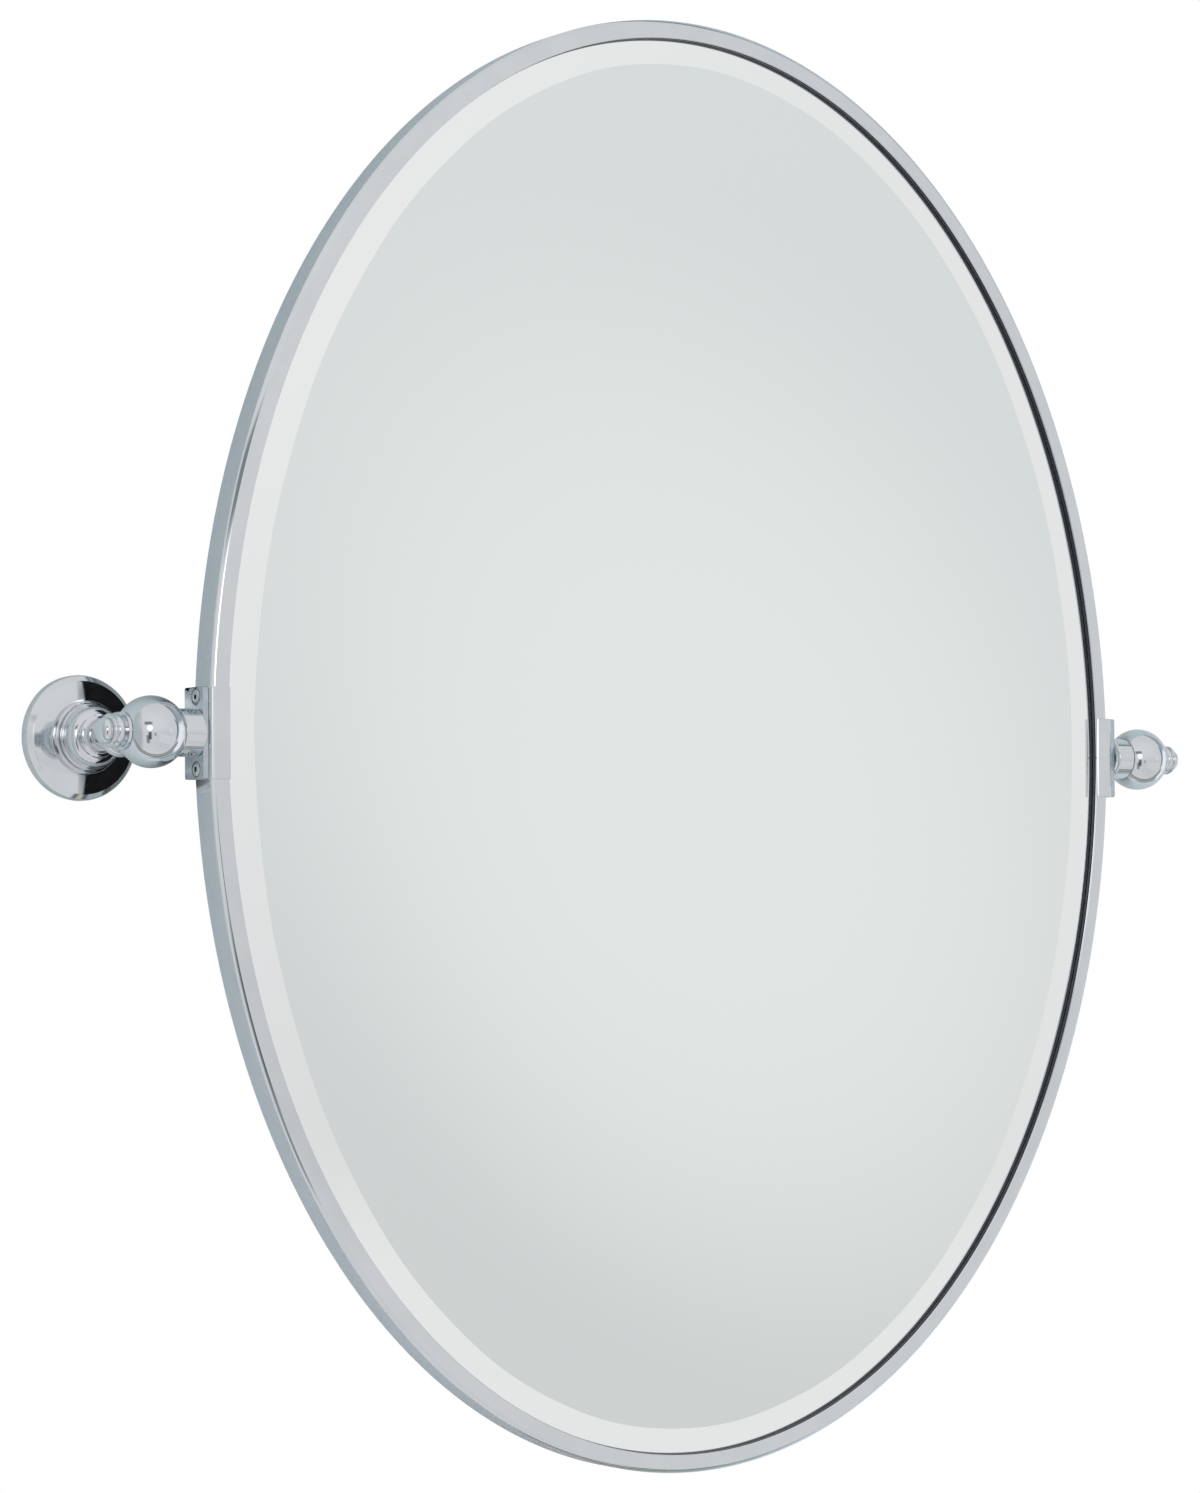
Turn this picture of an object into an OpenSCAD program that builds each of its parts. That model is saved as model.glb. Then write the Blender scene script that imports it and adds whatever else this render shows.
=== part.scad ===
// Oval pivot wall mirror: a bevelled mirror in a chrome band, tilting between two wall brackets.
// X runs along the pivot, +Y goes into the wall and +Z is up. The origin lies on the wall plane,
// midway between the brackets, level with the pivot. Turned parts are drawn as profiles of
// [radius, height] and laid along their axis.

/* [Frame] */
// Width of the oval frame over the band
frame_w = 610; // [500:1:740]
// Height of the oval frame over the band
frame_h = 788; // [640:1:960]
// Depth of the band from the lip's inner edge to the back
frame_depth = 17; // [15:0.5:24]
// Thickness of the band's wall
band_t = 1.5; // [1.2:0.1:2]
// Width of the front lip
lip_w = 10; // [8:0.5:13]
// Thickness of the front lip
lip_t = 1.2; // [1:0.1:1.8]
// Fall of the lip's face from its inner edge to its outer corner
lip_fall = 1; // [0:0.1:2]
// Radius of the band's outer front corner
corner_r = 2; // [1:0.1:2.5]
// Width of the band's butt seam at the right clamp
seam_w = 0.4; // [0.2:0.1:1]

/* [Glass and back] */
// Thickness of the glass
glass_t = 5; // [4:0.5:6]
// Gap between the glass edge and the inside of the band
glass_gap = 4.5; // [4:0.1:5]
// Width of the ground bevel
bevel_w = 19; // [12:0.5:26]
// Fall of the bevel from the flat glass to its edge
bevel_fall = 2; // [1:0.1:2.5]
// Thickness of the glazing strip between lip and glass
strip_t = 2.1; // [1.5:0.1:3]
// Distance the glazing strip lies back from the lip's inner edge
strip_back = 0.2; // [0.1:0.1:0.6]
// Thickness of the foam pad behind the glass
foam_t = 2; // [1:0.5:3]
// Thickness of the backing board
board_t = 3; // [2:0.5:4]
// Width of a retaining tab along the rim
tab_w = 14; // [8:1:24]
// Sheet thickness of a retaining tab
tab_t = 1; // [0.6:0.1:1.4]
// Reach of a retaining tab over the board
tab_reach = 14; // [8:1:24]
// Length of a tab's leg along the inside of the band
tab_leg = 8; // [5:0.5:10]
// Length of a setting block along the rim
block_l = 16; // [8:1:20]
// Thickness of a setting block between glass and band
block_t = 3.6; // [3:0.1:3.8]
// Depth of a setting block behind the lip
block_depth = 5; // [3:0.5:8]

/* [Pivot] */
// Distance from the wall to the pivot axis
pivot_reach = 76; // [66:1:100]
// Distance from the lip's front edge back to the pivot axis
pivot_set_back = 7.8; // [7:0.1:10]
// Diameter of the ball
ball_d = 36; // [32:1:44]
// Distance from the frame's side to the ball's centre
ball_offset = 30; // [28:0.5:40]
// Diameter of the pivot stud
pivot_d = 8; // [6:0.5:10]
// Diameter of the pivot stud's head
stud_head_d = 14; // [12:0.5:16]
// Diameter of the barrel between ball and clamp
barrel_d = 24; // [20:0.5:26]
// Diameter of the friction washer
washer_d = 18; // [14:0.5:19]
// Thickness of the friction washer
washer_t = 0.8; // [0.5:0.1:1.5]

/* [Finial] */
// Diameter of the finial's collar
finial_collar_d = 19; // [16:0.2:20]
// Length of the finial's collar
finial_collar_l = 1.9; // [1:0.05:4]
// Diameter of the groove behind the bead
finial_groove_d = 14.4; // [12:0.2:15]
// Length of the groove
finial_groove_l = 0.9; // [0.5:0.1:1.5]
// Diameter of the finial's bead
finial_bead_d = 17; // [14:0.2:18]
// Length of the finial's bead
finial_bead_l = 6.8; // [3:0.1:8]
// How far the bead's side bulges
finial_bead_bulge = 1.6; // [1:0.1:3]
// Diameter of the step between bead and button
finial_step_d = 12.6; // [11:0.2:14]
// Length of the step
finial_step_l = 0.8; // [0.5:0.1:3]
// Diameter of the domed button
finial_button_d = 13.4; // [10:0.2:14]
// Height of the domed button
finial_button_h = 4.8; // [2:0.1:5]

/* [Clamp] */
// Height of the clamp
clamp_h = 46; // [42:1:60]
// Thickness of the outer clamp plate
clamp_plate_t = 3; // [2.5:0.1:4]
// Depth of the clamp plate in front of the pivot
clamp_front = 7.4; // [6:0.1:8]
// Depth of the clamp plate behind the pivot
clamp_rear = 11; // [8:0.5:14]
// Corner radius of the clamp plate
clamp_corner_r = 1.2; // [0.5:0.1:3]
// Sheet thickness of the lip strap
strap_t = 1.5; // [1.2:0.1:2]
// Outer bend radius of the lip strap
strap_bend_r = 2.2; // [1.6:0.1:3]
// Distance between the clamp screws
screw_pitch = 36; // [32:0.5:38]
// Diameter of a clamp screw
screw_d = 4; // [3:0.5:5]
// Diameter of a clamp screw's head
screw_head_d = 7.6; // [6:0.1:9]
// Width across flats of the screw's hexagon socket
screw_socket = 2.5; // [2:0.5:3]
// Thickness of the nut plate inside the band
nut_plate_t = 2.6; // [2:0.1:2.8]
// Depth of the nut plate in front of the pivot
nut_plate_front = 5; // [4:0.1:5.4]
// Depth of the nut plate behind the pivot
nut_plate_rear = 8; // [5:0.5:9]

/* [Wall flange] */
// Diameter of the wall flange
flange_d = 64; // [58:1:80]
// Height of the flange's straight rim
flange_rim_h = 3.6; // [3:0.1:6]
// Radius of the rim's front edge
flange_edge_r = 2.4; // [1:0.1:3]
// Width of the flange's solid rim
flange_rim_w = 4.6; // [4:0.1:6]
// Height of the flange's flat crown above the wall
flange_h = 8.8; // [8:0.1:12]
// Wall thickness of the flange's crown
flange_t = 1.8; // [1.2:0.1:2.4]
// Thickness of the wall plate
wall_plate_t = 4.8; // [4:0.1:5]
// Diameter of the wall plate's centre hole
wall_plate_hole_d = 18; // [16:1:20]
// Distance between the two wall screw holes
wall_hole_pitch = 36; // [34:1:38]
// Diameter of a wall screw hole
wall_hole_d = 4.8; // [4:0.1:5.5]
// Diameter of the countersink for a wall screw's head
wall_head_d = 9; // [7:0.5:10]
// Diameter of the flange's set screw
set_screw_d = 3; // [2.5:0.5:3]
// Length of the flange's set screw
set_screw_l = 6; // [5:0.5:6]
// Depth of the wall plate's locking groove
lock_groove = 2; // [1.5:0.1:2.5]

/* [Arm] */
// Diameter of the base collar's foot ring
collar_foot_d = 37.2; // [32:0.2:40]
// Diameter of the base collar's upper ring
collar_ring_d = 33.8; // [30:0.2:36]
// Diameter of the base collar's groove
collar_groove_d = 32; // [28:0.2:33]
// Height of the foot ring
collar_foot_h = 3.4; // [1:0.1:4.5]
// Height of the groove
collar_groove_h = 0.8; // [0.5:0.1:1.5]
// Height of the upper ring
collar_ring_h = 1.6; // [1:0.1:3]
// Diameter of the arm's round-shouldered cup
cup_d = 31.2; // [28:0.2:34]
// Height of the cup's straight foot
cup_foot_h = 2.4; // [1:0.1:4]
// Height of the cup's round shoulder
cup_shoulder_h = 5.8; // [4:0.1:8]
// Diameter at the top of the cup's shoulder
cup_top_d = 21.6; // [19:0.2:24]
// Diameter of the arm's neck
neck_d = 16; // [14:0.5:18]
// Diameter of the bead in front of the neck
arm_bead_d = 22.8; // [20:0.2:25]
// Distance from the bead's middle to the pivot axis
arm_bead_reach = 31.6; // [30:0.1:34]
// Radius of the bead's round
arm_bead_r = 3.5; // [3:0.1:4]
// Length of the flares on both sides of the bead
flare_h = 5; // [3:0.5:7]
// Diameter of the arm's end collar at the ball
arm_end_d = 19.6; // [18:0.2:22]
// Diameter of the spigot that enters the ball
spigot_d = 8; // [6:0.5:8]
// Distance the spigot's end stays from the pivot axis
spigot_stop = 6; // [5.8:0.1:7]
// Diameter of the arm stud
arm_stud_d = 6; // [5:0.5:6]
// Depth of the arm stud in the arm
arm_stud_depth = 15; // [10:1:18]
// Thickness of the arm nut
arm_nut_t = 3; // [2.5:0.1:3.4]
// Width across flats of the arm nut
arm_nut_w = 10; // [8:0.5:11]

/* [Fits] */
// Radial clearance of a running fit
running_gap = 0.05; // [0.02:0.01:0.08]
// Clearance between parts that are seated on each other
seat_gap = 0.1; // [0.05:0.01:0.2]
// Clearance between the wall plate and the flange's rim
plate_gap = 0.3; // [0.2:0.1:0.4]
// Clearance of a screw in a plain hole
screw_gap = 0.2; // [0.1:0.05:0.3]

/* [Hidden] */
$fn = 96;
// Facets of the big ovals where they are drawn as a mesh
oval_fn = 180;
// Height of the thin disc that ends the bevel
skin = 0.01;
// Steps in each round stretch of a turned profile
arc_steps = 6;
// Extra length of a cutting tool past the face it leaves
cut = 1;

// Sides: -1 is the left bracket, 1 is the right one, as seen from the room
LEFT = -1;
RIGHT = 1;

// Half axes of the oval, and the circle that is stretched into it
half_w = frame_w / 2;
half_h = frame_h / 2;
round_r = (half_w + half_h) / 2;

// Distances from the wall, out into the room
lip_front = pivot_reach + pivot_set_back;
band_back = lip_front - frame_depth;
crown = lip_front - lip_fall;
// The lip's underside, at its inner edge and at the band
lip_under = lip_front - lip_t;
lip_root = lip_under - lip_fall;
// The glazing strip sets the bevel below the lip's inner edge
glass_inset = band_t + glass_gap;
bevel_at_lip = bevel_fall * (1 - (lip_w - glass_inset) / bevel_w);
glass_front = lip_under - strip_t - 2 * seat_gap + bevel_at_lip;
glass_back = glass_front - glass_t;
foam_back = glass_back - foam_t;
board_back = foam_back - board_t;
pad_inset = glass_inset + seat_gap;

// Places along the rim, as eccentric angles of the oval
TAB_ANGLES = [30, 60, 90, 120, 150, 210, 240, 270, 300, 330];
BLOCK_ANGLES = [45, 135, 225, 255, 285, 315];

// Distances along the pivot from the middle of the mirror, on the right-hand side
ball_x = half_w + ball_offset;
strap_inner_x = half_w + seat_gap;
plate_inner_x = strap_inner_x + strap_t;
plate_outer_x = plate_inner_x + clamp_plate_t;
// The nut plate is flat, so its ends set its distance from the curved band
band_inner_at_clamp = (half_w - band_t) * sqrt(1 - pow(clamp_h / 2 / (half_h - band_t), 2));
nut_outer_x = band_inner_at_clamp - seat_gap;
nut_inner_x = nut_outer_x - nut_plate_t;

// Flats on the ball, as distances from its centre
ball_r = ball_d / 2;
barrel_flat = sqrt(pow(ball_r, 2) - pow(barrel_d / 2, 2));
finial_flat = sqrt(pow(ball_r, 2) - pow(finial_collar_d / 2 - running_gap, 2));
arm_flat = sqrt(pow(ball_r, 2) - pow(arm_end_d / 2, 2));

// Places of the turned parts along the pivot, as distances from the ball's centre
washer_start = barrel_flat + running_gap;
washer_recess = washer_t - seat_gap;
barrel_start = washer_start + seat_gap;
barrel_end = ball_x - plate_outer_x;
finial_start = finial_flat + running_gap;
collar_end = finial_start + finial_collar_l;
groove_end = collar_end + finial_groove_l;
bead_end = groove_end + finial_bead_l;
step_end = bead_end + finial_step_l;
finial_bore_end = step_end - 0.5;
stud_end = finial_bore_end - 0.3;

// Heights of the bracket's parts above the wall
collar_top = flange_h + collar_foot_h + collar_groove_h + collar_ring_h;
cup_foot_top = collar_top + cup_foot_h;
cup_top = cup_foot_top + cup_shoulder_h;
cove_r = (cup_top_d - neck_d) / 2;
bead_middle = pivot_reach - arm_bead_reach;
bead_half_angle = 60;
bead_half = arm_bead_r * sin(bead_half_angle);
bead_root_r = arm_bead_d / 2 - arm_bead_r * (1 - cos(bead_half_angle));
cove_top = cup_top + cove_r;
neck_flare_h = min(flare_h, (bead_middle - bead_half - cove_top) / 2);
arm_end = pivot_reach - arm_flat;
spigot_end = pivot_reach - spigot_stop;
nut_seat = flange_h - flange_t;
set_screw_height = wall_plate_t / 2;
set_screw_foot = flange_d / 2 - flange_rim_w - lock_groove + seat_gap;
plate_r = flange_d / 2 - flange_rim_w - plate_gap;
edge_break = 0.4;

// Points of a round stretch, an ellipse arc about a centre
function arc(cx, cy, rx, ry, from, to) =
    [for (i = [0:arc_steps]) let (a = from + (to - from) * i / arc_steps)
        [cx + rx * cos(a), cy + ry * sin(a)]];

// Points of an S-shaped flare from one radius to another
function flare(r1, r2, h1, h2) =
    [for (i = [0:arc_steps]) let (s = i / arc_steps)
        [r1 + (r2 - r1) * (1 - cos(180 * s)) / 2, h1 + (h2 - h1) * s]];

// A point at an inset from the band's outside, and the direction square to the oval there
function oval_point(inset, t) = [(half_w - inset) * cos(t), (half_h - inset) * sin(t)];
function oval_normal(t) = atan2(sin(t) / half_h, cos(t) / half_w);

// Stands what is drawn upwards out from the wall, with its height along -Y
module from_wall() {
    rotate([90, 0, 0])
        children();
}

// Lays what is drawn upwards along the pivot, on one side, with its height away from the mirror
module along_pivot(side) {
    mirror([side == LEFT ? 1 : 0, 0, 0])
        translate([ball_x, -pivot_reach, 0])
            rotate([0, 90, 0])
                children();
}

// Places a part drawn in room coordinates for the right-hand side
module on_side(side) {
    mirror([side == LEFT ? 1 : 0, 0, 0])
        children();
}

// Stands a bracket part out from the wall on one side
module at_bracket(side) {
    translate([side * ball_x, 0, 0])
        from_wall()
            children();
}

// Oval disc at an inset from the band's outside, between two distances from the wall
module oval_disc(inset, low, high) {
    from_wall()
        translate([0, 0, low])
            scale([half_w - inset, half_h - inset, 1])
                cylinder(r = 1, h = high - low, $fn = oval_fn);
}

// Turned profile stretched into the oval
module oval_turning(inset, profile) {
    base_r = round_r - inset;
    from_wall()
        scale([(half_w - inset) / base_r, (half_h - inset) / base_r, 1])
            rotate_extrude($fn = oval_fn)
                polygon(profile);
}

module clamp_holes(d) {
    for (z = [-screw_pitch / 2, screw_pitch / 2])
        translate([0, -pivot_reach, z])
            rotate([0, 90, 0])
                translate([0, 0, -ball_x])
                    cylinder(d = d, h = 2 * ball_x);
}

// Sheet band with its inward lip, bent to an oval and butted at the right clamp
module frame_ring() {
    lip_rise = lip_fall * (lip_w - band_t) / (lip_w - corner_r);
    envelope = concat(
        [[0, band_back], [round_r, band_back]],
        arc(round_r - corner_r, crown - corner_r, corner_r, corner_r, 0, 90),
        [[round_r - lip_w, lip_front], [0, lip_front]]);
    pocket = [
        [0, band_back - cut],
        [round_r - band_t, band_back - cut],
        [round_r - band_t, lip_under - lip_rise],
        [round_r - lip_w, lip_under],
        [0, lip_under]];
    color("silver")
        difference() {
            oval_turning(0, envelope);
            oval_disc(lip_w, band_back - cut, lip_front + cut);
            oval_turning(band_t, pocket);
            clamp_holes(screw_d + 2 * screw_gap);
            translate([0, -lip_front - cut, -seam_w / 2])
                cube([half_w + cut, frame_depth + 2 * cut, seam_w]);
        }
}

// Oval plate of mirror glass with a ground bevel of even width all round
module mirror_glass() {
    color("lightcyan")
        hull() {
            oval_disc(glass_inset, glass_back, glass_front - bevel_fall);
            oval_disc(glass_inset + bevel_w, glass_front - skin, glass_front);
        }
}

// Black strip that beds the glass under the lip
module glazing_strip() {
    edge_inset = glass_inset + seat_gap;
    edge_r = round_r - edge_inset;
    run = lip_w - edge_inset;
    bevel_slope = bevel_fall / bevel_w;
    foot = glass_front - bevel_fall + 2 * seat_gap;
    lip_at_edge = lip_under - lip_fall * run / (lip_w - corner_r);
    color("black")
        difference() {
            oval_turning(edge_inset, [
                [edge_r - 2 * run, foot + 2 * run * bevel_slope],
                [edge_r, foot],
                [edge_r, lip_at_edge - seat_gap],
                [edge_r - run, lip_under - seat_gap],
                [edge_r - 2 * run, lip_under - seat_gap]]);
            oval_disc(lip_w - strip_back, band_back, lip_front);
        }
}

module foam_pad() {
    color("dimgray")
        oval_disc(pad_inset, foam_back, glass_back);
}

module backing_board() {
    color("tan")
        oval_disc(pad_inset, board_back, foam_back);
}

// Bent sheet tabs, fixed inside the band and folded over the board
module retaining_tabs() {
    color("gray")
        for (t = TAB_ANGLES)
            from_wall()
                translate(concat(oval_point(band_t + 2 * seat_gap, t), [board_back - tab_t]))
                    rotate([0, 0, oval_normal(t)])
                        retaining_tab();
}

module retaining_tab() {
    translate([-tab_reach, -tab_w / 2, 0])
        cube([tab_reach, tab_w, tab_t]);
    translate([-tab_t, -tab_w / 2, 0])
        cube([tab_t, tab_w, tab_leg]);
}

// Soft blocks that keep the glass edge off the band
module setting_blocks() {
    color("black")
        for (t = BLOCK_ANGLES)
            from_wall()
                translate(concat(oval_point(band_t + glass_gap / 2, t), [lip_root - seat_gap - block_depth]))
                    rotate([0, 0, oval_normal(t)])
                        translate([-block_t / 2, -block_l / 2, 0])
                            cube([block_t, block_l, block_depth]);
}

// Rounded plate on the band's side, countersunk for two screws
module clamp_plate(side) {
    sink = (screw_head_d - screw_d) / 2;
    color("silver")
        on_side(side)
            difference() {
                translate([plate_inner_x, -pivot_reach, 0])
                    rotate([90, 0, 90])
                        linear_extrude(clamp_plate_t)
                            rounded_panel(-clamp_front, clamp_rear, clamp_h, clamp_corner_r);
                translate([0, -pivot_reach, 0])
                    rotate([0, 90, 0])
                        cylinder(d = pivot_d + 2 * running_gap, h = ball_x);
                clamp_holes(screw_d + 2 * screw_gap);
                for (z = [-screw_pitch / 2, screw_pitch / 2])
                    translate([plate_outer_x - sink - seat_gap, -pivot_reach, z])
                        rotate([0, 90, 0])
                            countersink_cut(sink);
            }
}

module countersink_cut(sink) {
    cylinder(d1 = screw_d + 2 * screw_gap, d2 = screw_head_d + 2 * screw_gap, h = sink);
    translate([0, 0, sink])
        cylinder(d = screw_head_d + 2 * screw_gap, h = cut);
}

// Upright panel with round corners, from x1 to x2 and centred in height
module rounded_panel(x1, x2, h, r) {
    hull_w = x2 - x1;
    translate([x1 + r, -h / 2])
        square([hull_w - 2 * r, h]);
    translate([x1, -h / 2 + r])
        square([hull_w, h - 2 * r]);
    for (x = [x1 + r, x2 - r], y = [-h / 2 + r, h / 2 - r])
        translate([x, y])
            circle(r = r);
}

// Folded strap: one leg under the clamp plate, the other over the front lip
module lip_strap(side) {
    front = -lip_front - seat_gap - strap_t;
    inner_r = strap_bend_r - strap_t;
    bend_x = plate_inner_x - strap_bend_r;
    bend_y = front + strap_bend_r;
    outline = concat(
        [[half_w - lip_w, front + strap_t], [half_w - lip_w, front]],
        arc(bend_x, bend_y, strap_bend_r, strap_bend_r, 270, 360),
        [[plate_inner_x, -band_back], [strap_inner_x, -band_back]],
        arc(bend_x, bend_y, inner_r, inner_r, 360, 270));
    color("gainsboro")
        on_side(side)
            difference() {
                translate([0, 0, -clamp_h / 2])
                    linear_extrude(clamp_h)
                        polygon(outline);
                translate([0, -pivot_reach, 0])
                    rotate([0, 90, 0])
                        cylinder(d = stud_head_d + 4 * screw_gap, h = ball_x);
                clamp_holes(screw_d + 2 * screw_gap);
            }
}

// Tapped plate inside the band that takes the clamp screws
module nut_plate(side) {
    color("darkgray")
        on_side(side)
            difference() {
                translate([nut_inner_x, -pivot_reach - nut_plate_front, -clamp_h / 2])
                    cube([nut_plate_t, nut_plate_front + nut_plate_rear, clamp_h]);
                clamp_holes(screw_d + 2 * running_gap);
            }
}

// Two countersunk screws with hexagon sockets
module clamp_screws(side) {
    sink = (screw_head_d - screw_d) / 2;
    head_top = plate_outer_x - seat_gap;
    socket_d = screw_socket / cos(30);
    color("lightgray")
        on_side(side)
            for (z = [-screw_pitch / 2, screw_pitch / 2])
                translate([nut_inner_x, -pivot_reach, z])
                    rotate([0, 90, 0])
                        difference() {
                            union() {
                                cylinder(d = screw_d, h = head_top - nut_inner_x - sink);
                                translate([0, 0, head_top - nut_inner_x - sink])
                                    cylinder(d1 = screw_d, d2 = screw_head_d, h = sink);
                            }
                            translate([0, 0, head_top - nut_inner_x - screw_socket / 2])
                                cylinder(d = socket_d, h = screw_socket, $fn = 6);
                        }
}

// Plain sleeve between the ball and the clamp, recessed for the friction washer
module barrel(side) {
    r = barrel_d / 2;
    color("silver")
        along_pivot(side)
            rotate([180, 0, 0])
                difference() {
                    rotate_extrude()
                        polygon([
                            [pivot_d / 2 + running_gap, barrel_start],
                            [r - edge_break, barrel_start],
                            [r, barrel_start + edge_break],
                            [r, barrel_end],
                            [pivot_d / 2 + running_gap, barrel_end]]);
                    translate([0, 0, barrel_start - cut])
                        cylinder(d = washer_d + 2 * seat_gap, h = washer_recess + cut);
                }
}

// Headed stud: held by its head behind the clamp plate, threaded at its outer end
module pivot_stud(side) {
    head_out = barrel_end + clamp_plate_t + running_gap;
    head_in = head_out + strap_t - 2 * running_gap;
    color("gray")
        along_pivot(side) {
            translate([0, 0, -head_in])
                cylinder(d = stud_head_d, h = head_in - head_out);
            translate([0, 0, -head_out])
                cylinder(d = pivot_d, h = head_out + stud_end);
        }
}

module friction_washer(side) {
    color("ivory")
        along_pivot(side)
            translate([0, 0, -washer_start - washer_t])
                difference() {
                    cylinder(d = washer_d, h = washer_t);
                    translate([0, 0, -cut])
                        cylinder(d = pivot_d + 2 * screw_gap, h = washer_t + 2 * cut);
                }
}

// Turned tension nut: collar, groove, bead, step and domed button
module finial(side) {
    collar_r = finial_collar_d / 2;
    groove_r = finial_groove_d / 2;
    bead_r = finial_bead_d / 2;
    bead_core_r = bead_r - finial_bead_bulge;
    bead_mid = (groove_end + bead_end) / 2;
    bore_r = pivot_d / 2 + running_gap;
    profile = concat(
        [[0, finial_bore_end], [bore_r, finial_bore_end], [bore_r, finial_start]],
        [[collar_r - edge_break, finial_start], [collar_r, finial_start + edge_break]],
        [[collar_r, collar_end - edge_break], [collar_r - edge_break, collar_end]],
        [[groove_r, collar_end], [groove_r, groove_end]],
        arc(bead_core_r, bead_mid, finial_bead_bulge, finial_bead_l / 2, -75, 75),
        [[finial_step_d / 2, bead_end], [finial_step_d / 2, step_end]],
        arc(0, step_end, finial_button_d / 2, finial_button_h, 0, 90));
    color("silver")
        along_pivot(side)
            rotate_extrude()
                polygon(profile);
}

// Ball bored for the pivot, flat where barrel, finial and arm meet it
module ball(side) {
    color("silver")
        difference() {
            along_pivot(side)
                difference() {
                    sphere(d = ball_d);
                    translate([0, 0, -ball_d])
                        cylinder(d = pivot_d + 2 * running_gap, h = 2 * ball_d);
                    translate([-ball_d, -ball_d, finial_flat])
                        cube(2 * ball_d);
                    translate([-ball_d, -ball_d, -barrel_flat - 2 * ball_d])
                        cube(2 * ball_d);
                }
            at_bracket(side)
                spigot_socket();
        }
}

// Flat and blind hole that take the arm's end
module spigot_socket() {
    translate([-ball_d, -ball_d, arm_end - 2 * ball_d])
        cube(2 * ball_d);
    cylinder(d = spigot_d + 2 * running_gap, h = spigot_end + 2 * seat_gap);
}

// Turned arm: cup, neck, bead and end collar, with a spigot into the ball
module arm(side) {
    cup_r = cup_d / 2;
    top_r = cup_top_d / 2;
    neck_r = neck_d / 2;
    bead_r = arm_bead_d / 2;
    end_r = arm_end_d / 2;
    profile = concat(
        [[0, collar_top], [cup_r - edge_break, collar_top], [cup_r, collar_top + edge_break]],
        arc(top_r, cup_foot_top, cup_r - top_r, cup_shoulder_h, 0, 90),
        arc(top_r, cove_top, cove_r, cove_r, 270, 180),
        flare(neck_r, bead_root_r, bead_middle - bead_half - neck_flare_h, bead_middle - bead_half),
        arc(bead_r - arm_bead_r, bead_middle, arm_bead_r, arm_bead_r, -bead_half_angle, bead_half_angle),
        flare(end_r - 2 * edge_break, end_r, bead_middle + bead_half, bead_middle + bead_half + flare_h),
        [[end_r, arm_end], [spigot_d / 2, arm_end], [spigot_d / 2, spigot_end], [0, spigot_end]]);
    color("silver")
        at_bracket(side)
            difference() {
                rotate_extrude()
                    polygon(profile);
                translate([0, 0, collar_top - cut])
                    cylinder(d = arm_stud_d + 2 * running_gap, h = arm_stud_depth + cut + seat_gap);
            }
}

// Stepped ring with a groove, at the foot of the arm
module base_collar(side) {
    bore_r = arm_stud_d / 2 + screw_gap;
    foot_r = collar_foot_d / 2;
    ring_r = collar_ring_d / 2;
    foot_top = flange_h + collar_foot_h;
    groove_top = foot_top + collar_groove_h;
    color("silver")
        at_bracket(side)
            rotate_extrude()
                polygon([
                    [bore_r, flange_h],
                    [foot_r, flange_h],
                    [foot_r, foot_top - edge_break],
                    [foot_r - edge_break, foot_top],
                    [collar_groove_d / 2, foot_top],
                    [collar_groove_d / 2, groove_top],
                    [ring_r - edge_break, groove_top],
                    [ring_r, groove_top + edge_break],
                    [ring_r, collar_top - edge_break],
                    [ring_r - edge_break, collar_top],
                    [bore_r, collar_top]]);
}

// Dished wall cover with a solid rim, tapped below for its set screw
module flange(side) {
    outer_r = flange_d / 2;
    rim_in = outer_r - flange_rim_w;
    edge_in = outer_r - flange_edge_r;
    rim_top = flange_rim_h + flange_edge_r;
    crown_r = collar_foot_d / 2 + edge_break;
    bore_r = arm_stud_d / 2 + screw_gap;
    cavity_edge = wall_plate_t + seat_gap;
    profile = concat(
        [[rim_in, 0], [outer_r - edge_break, 0], [outer_r, edge_break]],
        arc(edge_in, flange_rim_h, flange_edge_r, flange_edge_r, 0, 90),
        [[crown_r, flange_h], [bore_r, flange_h], [bore_r, nut_seat]],
        [[crown_r - flange_t, nut_seat], [rim_in - flange_t, cavity_edge], [rim_in, cavity_edge]]);
    color("silver")
        at_bracket(side)
            difference() {
                rotate_extrude()
                    polygon(profile);
                translate([0, 0, set_screw_height])
                    rotate([90, 0, 0])
                        cylinder(d = set_screw_d + 2 * running_gap, h = flange_d);
            }
}

// Steel ring plate on the wall, with two countersunk holes and a locking groove round its edge
module wall_plate(side) {
    groove_low = set_screw_height - set_screw_d / 2 - screw_gap;
    groove_high = set_screw_height + set_screw_d / 2 + screw_gap;
    hole_r = wall_plate_hole_d / 2;
    sink_h = (wall_head_d - wall_hole_d) / 2;
    color("dimgray")
        at_bracket(side)
            difference() {
                rotate_extrude()
                    polygon([
                        [hole_r, 0],
                        [plate_r, 0],
                        [plate_r, groove_low],
                        [plate_r - lock_groove, groove_low],
                        [plate_r - lock_groove, groove_high],
                        [plate_r, groove_high],
                        [plate_r, wall_plate_t],
                        [hole_r, wall_plate_t]]);
                for (y = [-wall_hole_pitch / 2, wall_hole_pitch / 2]) {
                    translate([0, y, -cut])
                        cylinder(d = wall_hole_d, h = wall_plate_t + 2 * cut);
                    translate([0, y, wall_plate_t - sink_h])
                        cylinder(d1 = wall_hole_d, d2 = wall_head_d, h = sink_h);
                    translate([0, y, wall_plate_t])
                        cylinder(d = wall_head_d, h = cut);
                }
            }
}

// Threaded stud that pulls arm, collar and flange together
module arm_stud(side) {
    foot = nut_seat - arm_nut_t - cut;
    color("gray")
        at_bracket(side)
            translate([0, 0, foot])
                cylinder(d = arm_stud_d, h = collar_top + arm_stud_depth - foot);
}

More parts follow.
